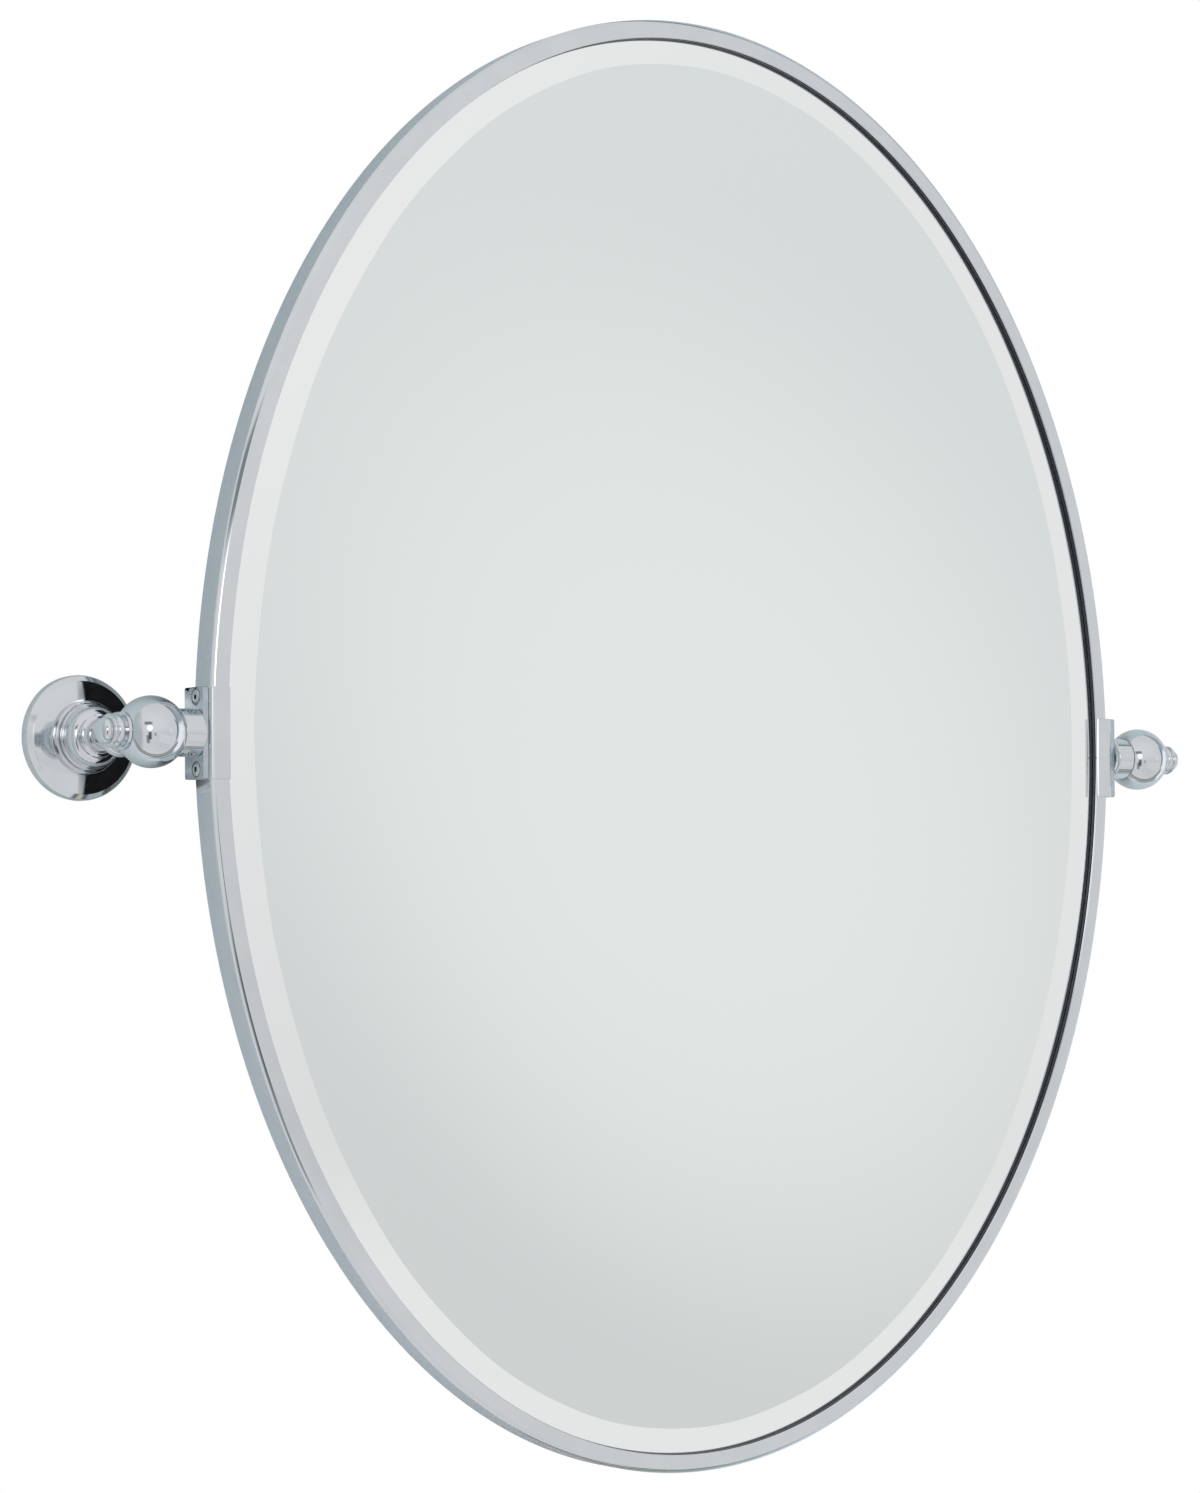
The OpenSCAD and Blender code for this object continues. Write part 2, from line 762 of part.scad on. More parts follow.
module arm_nut(side) {
    color("gray")
        at_bracket(side)
            translate([0, 0, nut_seat - arm_nut_t])
                difference() {
                    cylinder(d = arm_nut_w / cos(30), h = arm_nut_t, $fn = 6);
                    translate([0, 0, -cut])
                        cylinder(d = arm_stud_d + 2 * running_gap, h = arm_nut_t + 2 * cut);
                }
}

// Headless screw in the underside of the flange's rim
module set_screw(side) {
    socket_d = set_screw_d / 2;
    color("dimgray")
        at_bracket(side)
            translate([0, -set_screw_foot, set_screw_height])
                rotate([90, 0, 0])
                    difference() {
                        cylinder(d = set_screw_d, h = set_screw_l);
                        translate([0, 0, set_screw_l - set_screw_d / 2])
                            cylinder(d = socket_d, h = set_screw_d, $fn = 6);
                    }
}

frame_ring();
mirror_glass();
glazing_strip();
foam_pad();
backing_board();
retaining_tabs();
setting_blocks();
clamp_plate(LEFT);  // left_clamp_plate
lip_strap(LEFT);  // left_lip_strap
nut_plate(LEFT);  // left_nut_plate
clamp_screws(LEFT);  // left_clamp_screws
barrel(LEFT);  // left_barrel
pivot_stud(LEFT);  // left_pivot_stud
friction_washer(LEFT);  // left_friction_washer
finial(LEFT);  // left_finial
ball(LEFT);  // left_ball
arm(LEFT);  // left_arm
base_collar(LEFT);  // left_base_collar
flange(LEFT);  // left_flange
wall_plate(LEFT);  // left_wall_plate
arm_stud(LEFT);  // left_arm_stud
arm_nut(LEFT);  // left_arm_nut
set_screw(LEFT);  // left_set_screw
clamp_plate(RIGHT);  // right_clamp_plate
lip_strap(RIGHT);  // right_lip_strap
nut_plate(RIGHT);  // right_nut_plate
clamp_screws(RIGHT);  // right_clamp_screws
barrel(RIGHT);  // right_barrel
pivot_stud(RIGHT);  // right_pivot_stud
friction_washer(RIGHT);  // right_friction_washer
finial(RIGHT);  // right_finial
ball(RIGHT);  // right_ball
arm(RIGHT);  // right_arm
base_collar(RIGHT);  // right_base_collar
flange(RIGHT);  // right_flange
wall_plate(RIGHT);  // right_wall_plate
arm_stud(RIGHT);  // right_arm_stud
arm_nut(RIGHT);  // right_arm_nut
set_screw(RIGHT);  // right_set_screw
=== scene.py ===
import math

import bmesh
import bpy
from mathutils import Matrix, Vector


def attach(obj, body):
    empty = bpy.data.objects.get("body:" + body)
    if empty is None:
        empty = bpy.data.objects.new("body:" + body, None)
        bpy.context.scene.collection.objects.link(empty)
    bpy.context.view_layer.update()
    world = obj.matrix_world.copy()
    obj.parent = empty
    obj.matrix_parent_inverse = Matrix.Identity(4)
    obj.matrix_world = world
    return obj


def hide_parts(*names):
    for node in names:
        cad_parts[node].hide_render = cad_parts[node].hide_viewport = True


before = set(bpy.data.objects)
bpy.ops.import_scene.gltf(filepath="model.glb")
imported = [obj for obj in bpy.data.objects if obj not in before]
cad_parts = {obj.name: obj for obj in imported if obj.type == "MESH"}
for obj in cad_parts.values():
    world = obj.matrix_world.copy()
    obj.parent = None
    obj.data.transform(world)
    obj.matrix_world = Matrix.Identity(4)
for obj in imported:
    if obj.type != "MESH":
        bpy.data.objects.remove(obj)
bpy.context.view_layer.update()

# Sizes in millimetres, the same as the CAD model's. Heights are distances from the wall.
MM = 0.001
HALF_W, HALF_H = 305.0, 394.0
PIVOT = 76.0
BALL_X = 335.0
BALL_R = 18.0
BORE_R = 4.05
BARREL_R = 12.0
FLANGE_R = 32.0
LIP_FRONT = 83.8
BAND_BACK = 66.8
LIP_W = 10.0
BAND_T = 1.5
STRAP_T = 1.5
CLAMP_H = 46.0
SCREW_PITCH = 36.0
GLASS_INSET, BEVEL_INSET = 6.0, 25.0
GLASS_FRONT, GLASS_EDGE, GLASS_BACK = 81.88, 79.88, 76.88
PLATE_IN, PLATE_OUT = 306.6, 309.6
LEFT, RIGHT = -1, 1
SIDES = ((LEFT, "left"), (RIGHT, "right"))

# How finely the oval and the turned parts are divided
OVAL_STEPS = 720
TURN_STEPS = 144
FINE_TURN_STEPS = 192

# Points closer than this count as one, and corners flatter than this aren't rounded
SAME_POINT = 1e-5
NEARLY_STRAIGHT = math.pi - 0.02
# Units of the UV map along a profile for each metre of it
UV_PER_METRE = 10


# ---------------------------------------------------------------- profiles

def rounded(corners, steps):
    """Points of a closed outline whose corners (x, y, radius) are rounded."""
    count = len(corners)
    points = []
    for i, (x, y, r) in enumerate(corners):
        here = Vector((x, y))
        before = Vector(corners[i - 1][:2]) - here
        after = Vector(corners[(i + 1) % count][:2]) - here
        if r <= 0 or before.length < 1e-6 or after.length < 1e-6:
            points.append(here)
            continue
        one, two = before.normalized(), after.normalized()
        turn = math.acos(max(-1, min(1, one.dot(two))))
        if turn > NEARLY_STRAIGHT:
            points.append(here)
            continue
        reach = min(r / math.tan(turn / 2), before.length * 0.49, after.length * 0.49)
        radius = reach * math.tan(turn / 2)
        centre = here + (one + two).normalized() * (radius / math.sin(turn / 2))
        start, end = here + one * reach - centre, here + two * reach - centre
        sweep = math.atan2(start.cross(end), start.dot(end))
        for k in range(steps + 1):
            a = sweep * k / steps
            points.append(centre + Vector((
                start.x * math.cos(a) - start.y * math.sin(a),
                start.x * math.sin(a) + start.y * math.cos(a))))
    return points


def arc(cx, cy, rx, ry, a, b, steps):
    """Corners without rounding along an ellipse arc, angles in degrees."""
    return [(cx + rx * math.cos(math.radians(a + (b - a) * k / steps)),
             cy + ry * math.sin(math.radians(a + (b - a) * k / steps)), 0)
            for k in range(steps + 1)]


def flare(r1, r2, h1, h2, steps):
    """Corners along an S-shaped change of radius."""
    return [(r1 + (r2 - r1) * (1 - math.cos(math.pi * k / steps)) / 2,
             h1 + (h2 - h1) * k / steps, 0) for k in range(steps + 1)]


def outward(points):
    """Length-weighted outward normals of a closed profile, and the sign of its turning."""
    count = len(points)
    area = sum(points[i].cross(points[(i + 1) % count]) for i in range(count))
    sign = 1 if area > 0 else -1
    normals = []
    for i in range(count):
        along = points[(i + 1) % count] - points[i - 1]
        normals.append(Vector((along.y, -along.x)).normalized() * sign)
    return normals, sign


def cross_section(corners, steps):
    """A rounded profile without doubled points: points, normals, sign and lengths along it."""
    points = rounded(corners, steps)
    points = [p for i, p in enumerate(points) if (p - points[i - 1]).length > SAME_POINT]
    normals, sign = outward(points)
    lengths = [0.0]
    for i in range(1, len(points)):
        lengths.append(lengths[-1] + (points[i] - points[i - 1]).length)
    return points, normals, sign, lengths


# ---------------------------------------------------------------- meshes

def new_object(name, points, faces, normals=None, uvs=None):
    """An object whose mesh is in metres in the part's own frame."""
    mesh = bpy.data.meshes.new(name)
    mesh.from_pydata(points, [], faces)
    mesh.validate()
    mesh.update()
    mesh.shade_smooth()
    if uvs is not None:
        layer = mesh.uv_layers.new(name="UVMap")
        for loop in mesh.loops:
            layer.data[loop.index].uv = uvs[loop.vertex_index]
    if normals is not None:
        mesh.normals_split_custom_set_from_vertices(normals)
    obj = bpy.data.objects.new(name, mesh)
    bpy.context.scene.collection.objects.link(obj)
    return obj


def along_pivot(side):
    """Local height runs outwards along the pivot from the ball's centre."""
    turn = Matrix(((0, 0, 1), (1, 0, 0), (0, 1, 0)))
    if side == LEFT:
        turn = Matrix(((-1, 0, 0), (0, -1, 0), (0, 0, 1))) @ turn
    return turn, Vector((side * BALL_X, -PIVOT, 0))


def at_bracket(side):
    """Local height runs out from the wall through the bracket."""
    return Matrix(((1, 0, 0), (0, 0, -1), (0, 1, 0))), Vector((side * BALL_X, 0, 0))


def joined(one, two, steps):
    """Faces between two rings of vertices. A ring of one vertex is a pole."""
    faces = []
    for j in range(steps):
        k = (j + 1) % steps
        if len(one) == 1:
            faces.append((one[0], two[k], two[j]))
        elif len(two) == 1:
            faces.append((one[j], one[k], two[0]))
        else:
            faces.append((one[j], one[k], two[k], two[j]))
    return faces


def lathe(name, corners, place, steps=TURN_STEPS, round_steps=5):
    """A turned part from a closed profile of (radius, height, corner radius)."""
    turn, origin = place
    profile, normals2, sign, lengths = cross_section(corners, round_steps)
    points, normals, uvs, rings = [], [], [], []
    for p, n, length in zip(profile, normals2, lengths):
        ring = []
        pole = p.x < 1e-4
        for j in range(1 if pole else steps):
            a = 2 * math.pi * j / steps
            c, s = math.cos(a), math.sin(a)
            ring.append(len(points))
            points.append((turn @ Vector((p.x * c, p.x * s, p.y)) + origin) * MM)
            if pole:
                local = Vector((0, 0, 1 if n.y > 0 else -1))
            else:
                local = Vector((n.x * c, n.x * s, n.y))
            normals.append(turn @ local)
            uvs.append((j / steps, length * MM * UV_PER_METRE))
        rings.append(ring)
    faces = []
    for i, ring in enumerate(rings):
        after = rings[(i + 1) % len(rings)]
        if len(ring) > 1 or len(after) > 1:
            faces += joined(ring, after, steps)
    if sign < 0:
        faces = [face[::-1] for face in faces]
    return new_object(name, points, faces, normals, uvs)


def oval_sweep(name, corners, round_steps, start=0.0, end=360.0):
    """A closed section of (inset, height, corner radius) carried round the oval."""
    section, normals2, sign, lengths = cross_section(corners, round_steps)
    steps = OVAL_STEPS
    whole = abs(end - start - 360.0) < 1e-6
    count = steps if whole else steps + 1
    points, normals, uvs = [], [], []
    for j in range(count):
        t = math.radians(start + (end - start) * j / steps)
        c, s = math.cos(t), math.sin(t)
        for p, n, length in zip(section, normals2, lengths):
            ax, az = HALF_W - p.x, HALF_H - p.x
            points.append(Vector((ax * c, -p.y, az * s)) * MM)
            along = Vector((-ax * s, 0, az * c))
            step = Vector((c * n.y, -n.x, s * n.y))
            normal = along.cross(step).normalized()
            straight_out = Vector((c / HALF_W, 0, s / HALF_H)).normalized()
            guess = straight_out * -n.x + Vector((0, -1, 0)) * n.y
            if normal.dot(guess) < 0:
                normal.negate()
            normals.append(normal)
            uvs.append((j / steps, length * MM * UV_PER_METRE))
    faces = []
    size = len(section)
    for j in range(steps):
        k = (j + 1) % count
        for i in range(size):
            m = (i + 1) % size
            face = (j * size + i, k * size + i, k * size + m, j * size + m)
            faces.append(face if sign < 0 else face[::-1])
    if not whole:
        first = tuple(range(size))
        last = tuple(range((count - 1) * size, count * size))
        faces.append(first if sign > 0 else first[::-1])
        faces.append(last[::-1] if sign > 0 else last)
    return new_object(name, points, faces, normals, uvs)


def turned_out(obj):
    """Turns all faces of a closed mesh outwards."""
    bm = bmesh.new()
    bm.from_mesh(obj.data)
    bmesh.ops.recalc_face_normals(bm, faces=bm.faces)
    bm.to_mesh(obj.data)
    bm.free()


def facing(obj):
    """Turns all faces outwards and gives each vertex the normal of the largest flat it touches."""
    mesh = obj.data
    bm = bmesh.new()
    bm.from_mesh(mesh)
    bmesh.ops.triangulate(bm, faces=[f for f in bm.faces if len(f.verts) > 4])
    bmesh.ops.recalc_face_normals(bm, faces=bm.faces)
    bm.to_mesh(mesh)

    def flat(face):
        return tuple(round(c, 3) for c in face.normal)

    areas = {}
    for face in bm.faces:
        areas[flat(face)] = areas.get(flat(face), 0.0) + face.calc_area()
    normals = []
    for v in bm.verts:
        best = max(v.link_faces, key=lambda face: areas[flat(face)], default=None)
        normals.append(best.normal.copy() if best else Vector((0, -1, 0)))
    bm.free()
    mesh.shade_smooth()
    mesh.normals_split_custom_set_from_vertices(normals)


def applied(obj):
    """Replaces an object's mesh by what its modifiers make of it."""
    graph = bpy.context.evaluated_depsgraph_get()
    mesh = bpy.data.meshes.new_from_object(obj.evaluated_get(graph))
    obj.modifiers.clear()
    obj.data = mesh


def extruded(name, outline, depth, place):
    """A prism from an outline (x, y) with its thickness along local z."""
    turn, origin = place
    count = len(outline)
    points = [(turn @ Vector((p.x, p.y, z)) + origin) * MM for z in (0, depth) for p in outline]
    faces = [tuple(range(count))[::-1], tuple(range(count, 2 * count))]
    faces += [(i, (i + 1) % count, (i + 1) % count + count, i + count) for i in range(count)]
    obj = new_object(name, points, faces)
    turned_out(obj)
    return obj


def cut_and_soften(obj, cutters, width):
    """Cuts holes, rounds every edge sharper than 30 degrees, and sets clean normals."""
    for cutter in cutters:
        mod = obj.modifiers.new("cut", "BOOLEAN")
        mod.operation = "DIFFERENCE"
        mod.solver = "EXACT"
        mod.object = cutter
    applied(obj)
    for cutter in cutters:
        bpy.data.objects.remove(cutter)
    mod = obj.modifiers.new("soften", "BEVEL")
    mod.width = width * MM
    mod.segments = 3
    mod.limit_method = "ANGLE"
    mod.angle_limit = math.radians(30)
    mod.miter_outer = "MITER_ARC"
    applied(obj)
    facing(obj)
    return obj


# ---------------------------------------------------------------- materials

class Tree:
    """A short way to write a material's nodes."""

    def __init__(self, name):
        self.mat = bpy.data.materials.new(name)
        self.mat.use_nodes = True
        self.nodes = self.mat.node_tree.nodes
        self.links = self.mat.node_tree.links
        self.shader = self.nodes["Principled BSDF"]

    def node(self, kind, **values):
        made = self.nodes.new(kind)
        for key, value in values.items():
            if key.startswith("in_"):
                made.inputs[key[3:].replace("_", " ")].default_value = value
            else:
                setattr(made, key, value)
        return made

    def link(self, a, b):
        self.links.new(a, b)

    def coords(self, kind="Object", scale=(1, 1, 1)):
        source = self.node("ShaderNodeTexCoord")
        mapping = self.node("ShaderNodeMapping")
        mapping.inputs["Scale"].default_value = scale
        self.link(source.outputs[kind], mapping.inputs["Vector"])
        return mapping.outputs["Vector"]

    def noise(self, vector, scale, detail=4.0, rough=0.55, distort=0.0):
        made = self.node("ShaderNodeTexNoise", in_Scale=scale, in_Detail=detail,
                         in_Roughness=rough, in_Distortion=distort)
        self.link(vector, made.inputs["Vector"])
        return made.outputs["Fac"]

    def span(self, value, low, high, out_low, out_high):
        made = self.node("ShaderNodeMapRange", interpolation_type="SMOOTHSTEP")
        ends = {"From Min": low, "From Max": high, "To Min": out_low, "To Max": out_high}
        for key, number in ends.items():
            made.inputs[key].default_value = number
        self.link(value, made.inputs["Value"])
        return made.outputs["Result"]

    def mix(self, fac, a, b):
        made = self.node("ShaderNodeMix", data_type="RGBA")
        self.link(fac, made.inputs["Factor"])
        for socket, colour in ((made.inputs[6], a), (made.inputs[7], b)):
            if isinstance(colour, tuple):
                socket.default_value = (*colour, 1)
            else:
                self.link(colour, socket)
        return made.outputs[2]

    def math(self, operation, a, b):
        made = self.node("ShaderNodeMath", operation=operation)
        for socket, value in zip(made.inputs, (a, b)):
            if isinstance(value, (int, float)):
                socket.default_value = value
            else:
                self.link(value, socket)
        return made.outputs[0]

    def bump(self, height, strength, distance, below=None):
        made = self.node("ShaderNodeBump", in_Strength=strength, in_Distance=distance)
        self.link(height, made.inputs["Height"])
        if below is not None:
            self.link(below, made.inputs["Normal"])
        return made.outputs["Normal"]

    def set(self, **values):
        for key, value in values.items():
            self.shader.inputs[key.replace("_", " ")].default_value = value

    def into(self, key, socket):
        self.link(socket, self.shader.inputs[key])


CHROME_LIGHT = (0.722, 0.742, 0.762)
CHROME_DARK = (0.692, 0.713, 0.735)


def chrome(name, waves=0.0, waves_scale=20.0, lines=0.0, lines_scale=(1, 1, 1),
           rough=(0.015, 0.05)):
    """Bright chrome plate: faint haze, slow waviness and fine buffing lines."""
    t = Tree(name)
    place = t.coords()
    haze = t.noise(place, 45.0, 5.0, 0.6)
    t.into("Base Color", t.mix(t.span(haze, 0.35, 0.7, 0, 1), CHROME_DARK, CHROME_LIGHT))
    smear = t.noise(place, 130.0, 6.0, 0.65, 0.4)
    t.into("Roughness", t.span(smear, 0.3, 0.75, rough[0], rough[1]))
    t.set(Metallic=1.0)
    normal = None
    if waves:
        normal = t.bump(t.noise(place, waves_scale, 2.0, 0.4), waves, 0.001)
    if lines:
        marks = t.noise(t.coords("UV", lines_scale), 1.0, 3.0, 0.6)
        normal = t.bump(marks, lines, 0.0001, normal)
    if normal is not None:
        t.into("Normal", normal)
    return t.mat


def mirror_face(name, tint_a, tint_b, waves):
    """Silvered glass, with the faint smears of a wiped mirror."""
    t = Tree(name)
    place = t.coords()
    t.into("Base Color", t.mix(t.noise(place, 3.0, 2.0, 0.5), tint_a, tint_b))
    smear = t.noise(t.coords("Object", (1, 1, 0.35)), 9.0, 6.0, 0.7, 0.8)
    t.into("Roughness", t.span(smear, 0.45, 0.8, 0.0, 0.022))
    t.set(Metallic=1.0)
    t.into("Normal", t.bump(t.noise(place, 4.0, 1.0, 0.4), waves, 0.001))
    return t.mat


def satin(name, dark, light, scale, rough, bump, metal=0.0, distance=0.0004):
    """A duller finish: mottled colour, uneven roughness and a fine grain."""
    t = Tree(name)
    place = t.coords()
    mottle = t.noise(place, scale, 5.0, 0.6)
    t.into("Base Color", t.mix(t.span(mottle, 0.3, 0.7, 0, 1), dark, light))
    uneven = t.noise(place, scale * 2.7, 4.0, 0.6)
    t.into("Roughness", t.span(uneven, 0.3, 0.7, rough[0], rough[1]))
    t.set(Metallic=metal)
    t.into("Normal", t.bump(t.noise(place, scale * 6.0, 6.0, 0.65), bump, distance))
    return t.mat


def fibre_board(name):
    """Sealed black hardboard: pressed fibres under a thin satin coat, its near-black colour partly
    the board's own and partly painted shade of the gap behind the mirror.
    """
    t = Tree(name)
    long_way = t.noise(t.coords("Object", (1, 1, 9)), 90.0, 6.0, 0.7, 1.5)
    cross_way = t.noise(t.coords("Object", (9, 1, 1)), 90.0, 6.0, 0.7, 1.5)
    fibres = t.math("MULTIPLY", long_way, cross_way)
    shade = t.span(fibres, 0.16, 0.36, 0, 1)
    # Painted shade: darker than the black board alone, standing in for the shade between the
    # mirror's back and the wall
    t.into("Base Color", t.mix(shade, (0.006, 0.006, 0.007), (0.026, 0.025, 0.024)))
    t.into("Roughness", t.span(t.noise(t.coords(), 14.0, 5.0, 0.6), 0.3, 0.7, 0.46, 0.64))
    t.set(Specular_IOR_Level=0.25)
    t.into("Normal", t.bump(fibres, 0.5, 0.0006))
    return t.mat


def brushed_zinc(name):
    """Bright zinc on sheet steel: cloudy spangle over rolling marks."""
    t = Tree(name)
    place = t.coords()
    cells = t.node("ShaderNodeTexVoronoi", in_Scale=140.0, in_Randomness=1.0)
    t.link(place, cells.inputs["Vector"])
    cloud = t.noise(place, 60.0, 5.0, 0.6)
    mixed = t.math("MULTIPLY", cells.outputs["Distance"], cloud)
    spangle = t.span(mixed, 0.1, 0.5, 0, 1)
    t.into("Base Color", t.mix(spangle, (0.42, 0.44, 0.47), (0.68, 0.69, 0.70)))
    t.into("Roughness", t.span(cloud, 0.3, 0.7, 0.28, 0.46))
    t.set(Metallic=1.0)
    rolled = t.noise(t.coords("Object", (1, 1, 14)), 160.0, 4.0, 0.6)
    t.into("Normal", t.bump(rolled, 0.25, 0.0003))
    return t.mat


M_FRAME = chrome("frame_chrome", waves=0.012, waves_scale=14.0, lines=0.03,
                 lines_scale=(40, 900, 1), rough=(0.02, 0.06))
M_TURNED = chrome("turned_chrome", lines=0.05, lines_scale=(3, 500, 1))
M_CLAMP = chrome("clamp_chrome", waves=0.03, waves_scale=60.0)
# The clamp plates' chrome is tinted a darker blue-grey than the other chrome: a painted reflection
# of the dim surroundings the plates mirror
M_PLATE_PAINTED_REFLECTION = satin("plate_chrome", (0.46, 0.52, 0.56), (0.54, 0.60, 0.64), 160.0,
                (0.13, 0.21), 0.10, 1.0, 0.0001)
M_SCREW = satin("screw_chrome", (0.50, 0.51, 0.52), (0.70, 0.71, 0.72), 900.0,
                (0.16, 0.30), 0.12, 1.0, 0.0001)
# Inside the socket the steel is coloured much darker than the head: painted shade of the recess
# over the steel's own colour
M_SOCKET_PAINTED_SHADE = satin("socket_steel", (0.20, 0.20, 0.21), (0.34, 0.34, 0.35), 900.0,
                 (0.30, 0.45), 0.2, 1.0, 0.0001)
M_MIRROR = mirror_face("mirror_silver", (0.832, 0.868, 0.861), (0.842, 0.876, 0.869), 0.05)
M_BEVEL = mirror_face("mirror_bevel", (0.955, 0.962, 0.958), (0.968, 0.972, 0.969), 0.05)
M_EDGE = satin("glass_edge", (0.10, 0.22, 0.18), (0.26, 0.42, 0.37), 300.0,
               (0.12, 0.3), 0.15)
M_PAINT = satin("mirror_back_paint", (0.20, 0.21, 0.215), (0.26, 0.27, 0.275), 60.0,
                (0.45, 0.6), 0.2)
M_RUBBER = satin("black_rubber", (0.010, 0.012, 0.014), (0.028, 0.030, 0.033), 250.0,
                 (0.45, 0.65), 0.35)
M_STRIP = satin("glazing_rubber", (0.008, 0.013, 0.022), (0.020, 0.028, 0.042), 250.0,
                (0.25, 0.42), 0.25)
M_FOAM = satin("foam", (0.055, 0.056, 0.058), (0.12, 0.12, 0.125), 800.0,
               (0.85, 0.95), 0.8)
M_BLACK_BOARD_AND_SHADE = fibre_board("sealed_hardboard")
M_ZINC = brushed_zinc("zinc_steel")
M_STEEL = satin("steel", (0.42, 0.42, 0.42), (0.58, 0.58, 0.57), 500.0,
                (0.24, 0.38), 0.2, 1.0, 0.0002)
M_NYLON = satin("nylon", (0.62, 0.60, 0.54), (0.74, 0.72, 0.66), 300.0,
                (0.4, 0.55), 0.2)


def finish_faces(obj, materials, indices):
    """Gives an object its materials, and each face the one with its index."""
    for mat in materials:
        obj.data.materials.append(mat)
    for face, index in zip(obj.data.polygons, indices):
        face.material_index = index


def piece(obj, body, nodes, material=None):
    """Gives a new object its finish and its body, and hides the CAD nodes it stands for."""
    if material is not None:
        obj.data.materials.append(material)
    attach(obj, body)
    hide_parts(*nodes)


# ---------------------------------------------------------------- the frame and the glass

# Half of the butt joint's gap at the right pivot, 0.2 mm, as an angle of the oval
SEAM_HALF = math.degrees(0.2 / HALF_H)
# Where the band turns into the lip, outside and inside, and the lip's back at its free edge
TURN_OUT, TURN_IN, LIP_BACK = 81.12, 81.54, 82.6
# The roll between the band's side and the lip's sloping face: its centre and radius
ROLL_X, ROLL_Y, ROLL_R = 8.58, 72.79, 12.0
STRIP_OUT, STRIP_IN = 6.1, 10.2

ring = oval_sweep("frame_band", [
    (0.0, BAND_BACK, 0.25),
    (0.0, TURN_OUT, 0.5),
    *arc(ROLL_X, ROLL_Y, ROLL_R, ROLL_R, 135, 121, 8),
    (LIP_W, LIP_FRONT, 0.55),
    (LIP_W, LIP_BACK, 0.5),
    (BAND_T, TURN_IN, 0.5),
    (BAND_T, BAND_BACK, 0.25),
], 8, SEAM_HALF, 360 - SEAM_HALF)
piece(ring, "mirror", ["frame_ring"], M_FRAME)

# The strip fills the wedge between the bevel and the lip, and shows as a line past the lip
strip = oval_sweep("glazing_strip_soft", [
    (STRIP_OUT, 80.10, 0.2),
    (STRIP_OUT, 82.00, 0.2),
    (LIP_W, 82.48, 0.0),
    (STRIP_IN, 82.46, 0.25),
    (STRIP_IN, 80.53, 0.25),
], 4)
piece(strip, "mirror", ["glazing_strip"], M_STRIP)


def ground_waver(t, inset):
    """How far the bevel's inner line wanders, as on a bevel that is ground by hand."""
    share = max(0.0, min(1.0, (inset - GLASS_INSET) / (BEVEL_INSET - GLASS_INSET)))
    wander = 0.4 + 0.8 * math.cos(t) + 1.6 * math.cos(2 * t) - 0.55 * math.sin(2 * t)
    wander += 0.35 * math.cos(5 * t + 0.6) + 0.16 * math.cos(23 * t)
    return share * wander


# The glass's finishes by index, and the inset of the flat middle's outermost ring of points
FACE, BEVEL, EDGE, PAINT = range(4)
MIDDLE_INSET = 60.0


def bevelled_glass():
    """Oval plate: flat face, ground bevel, edge and painted back."""
    slope = math.atan2(GLASS_FRONT - GLASS_EDGE, BEVEL_INSET - GLASS_INSET)
    # Inset, height, the normal's angle from straight ahead, and the finish up to the next level
    levels = (
        (MIDDLE_INSET, GLASS_FRONT, 0, FACE),
        (BEVEL_INSET + 0.12, GLASS_FRONT, 0, BEVEL),
        (BEVEL_INSET, GLASS_FRONT - 0.006, slope / 2, BEVEL),
        (BEVEL_INSET - 0.12, GLASS_FRONT - 0.024, slope, BEVEL),
        (GLASS_INSET + 0.35, GLASS_EDGE + 0.02, slope, EDGE),
        (GLASS_INSET + 0.08, GLASS_EDGE - 0.12, math.radians(45), EDGE),
        (GLASS_INSET, GLASS_EDGE - 0.4, math.radians(90), EDGE),
        (GLASS_INSET, GLASS_BACK + 0.4, math.radians(90), EDGE),
        (GLASS_INSET + 0.3, GLASS_BACK, math.radians(150), PAINT),
        (MIDDLE_INSET, GLASS_BACK, math.pi, PAINT))
    points, normals, faces, finishes = [], [], [], []
    for j in range(OVAL_STEPS):
        t = 2 * math.pi * j / OVAL_STEPS
        c, s = math.cos(t), math.sin(t)
        out = Vector((c / HALF_W, 0, s / HALF_H)).normalized()
        for inset, height, tilt, finish in levels:
            if finish == BEVEL:
                inset += ground_waver(t, inset)
            points.append(Vector(((HALF_W - inset) * c, -height, (HALF_H - inset) * s)) * MM)
            normals.append(out * math.sin(tilt) + Vector((0, -1, 0)) * math.cos(tilt))
    size = len(levels)
    for j in range(OVAL_STEPS):
        k = (j + 1) % OVAL_STEPS
        for i in range(size - 1):
            faces.append((j * size + i, j * size + i + 1, k * size + i + 1, k * size + i))
            finishes.append(levels[i][3])
    faces.append(tuple(j * size for j in range(OVAL_STEPS)))
    finishes.append(FACE)
    faces.append(tuple(j * size + size - 1 for j in range(OVAL_STEPS))[::-1])
    finishes.append(PAINT)
    obj = new_object("mirror_plate", points, faces, normals)
    finish_faces(obj, (M_MIRROR, M_BEVEL, M_EDGE, M_PAINT), finishes)
    return obj


glass = bevelled_glass()
piece(glass, "mirror", ["mirror_glass"])


# ---------------------------------------------------------------- clamps

# Heights along the pivot from the middle of the mirror, and the socket's width across flats
SCREW_TOP, SCREW_END = 309.5, 297.6
SOCKET_FLATS, SOCKET_DEPTH = 2.5, 1.3
SCREW_STEPS, CUTTER_STEPS = 72, 64
COUNTERSINK = ((0, 304.0, 0), (2.2, 304.0, 0), (2.2, 307.4, 0), (4.25, 309.0, 0),
               (4.25, 311.0, 0), (0, 311.0, 0))
# The plate's edges, measured from the pivot towards the wall, and its corners' radius
PLATE_ROOM, PLATE_WALL, PLATE_CORNER = -7.4, 11.0, 1.2
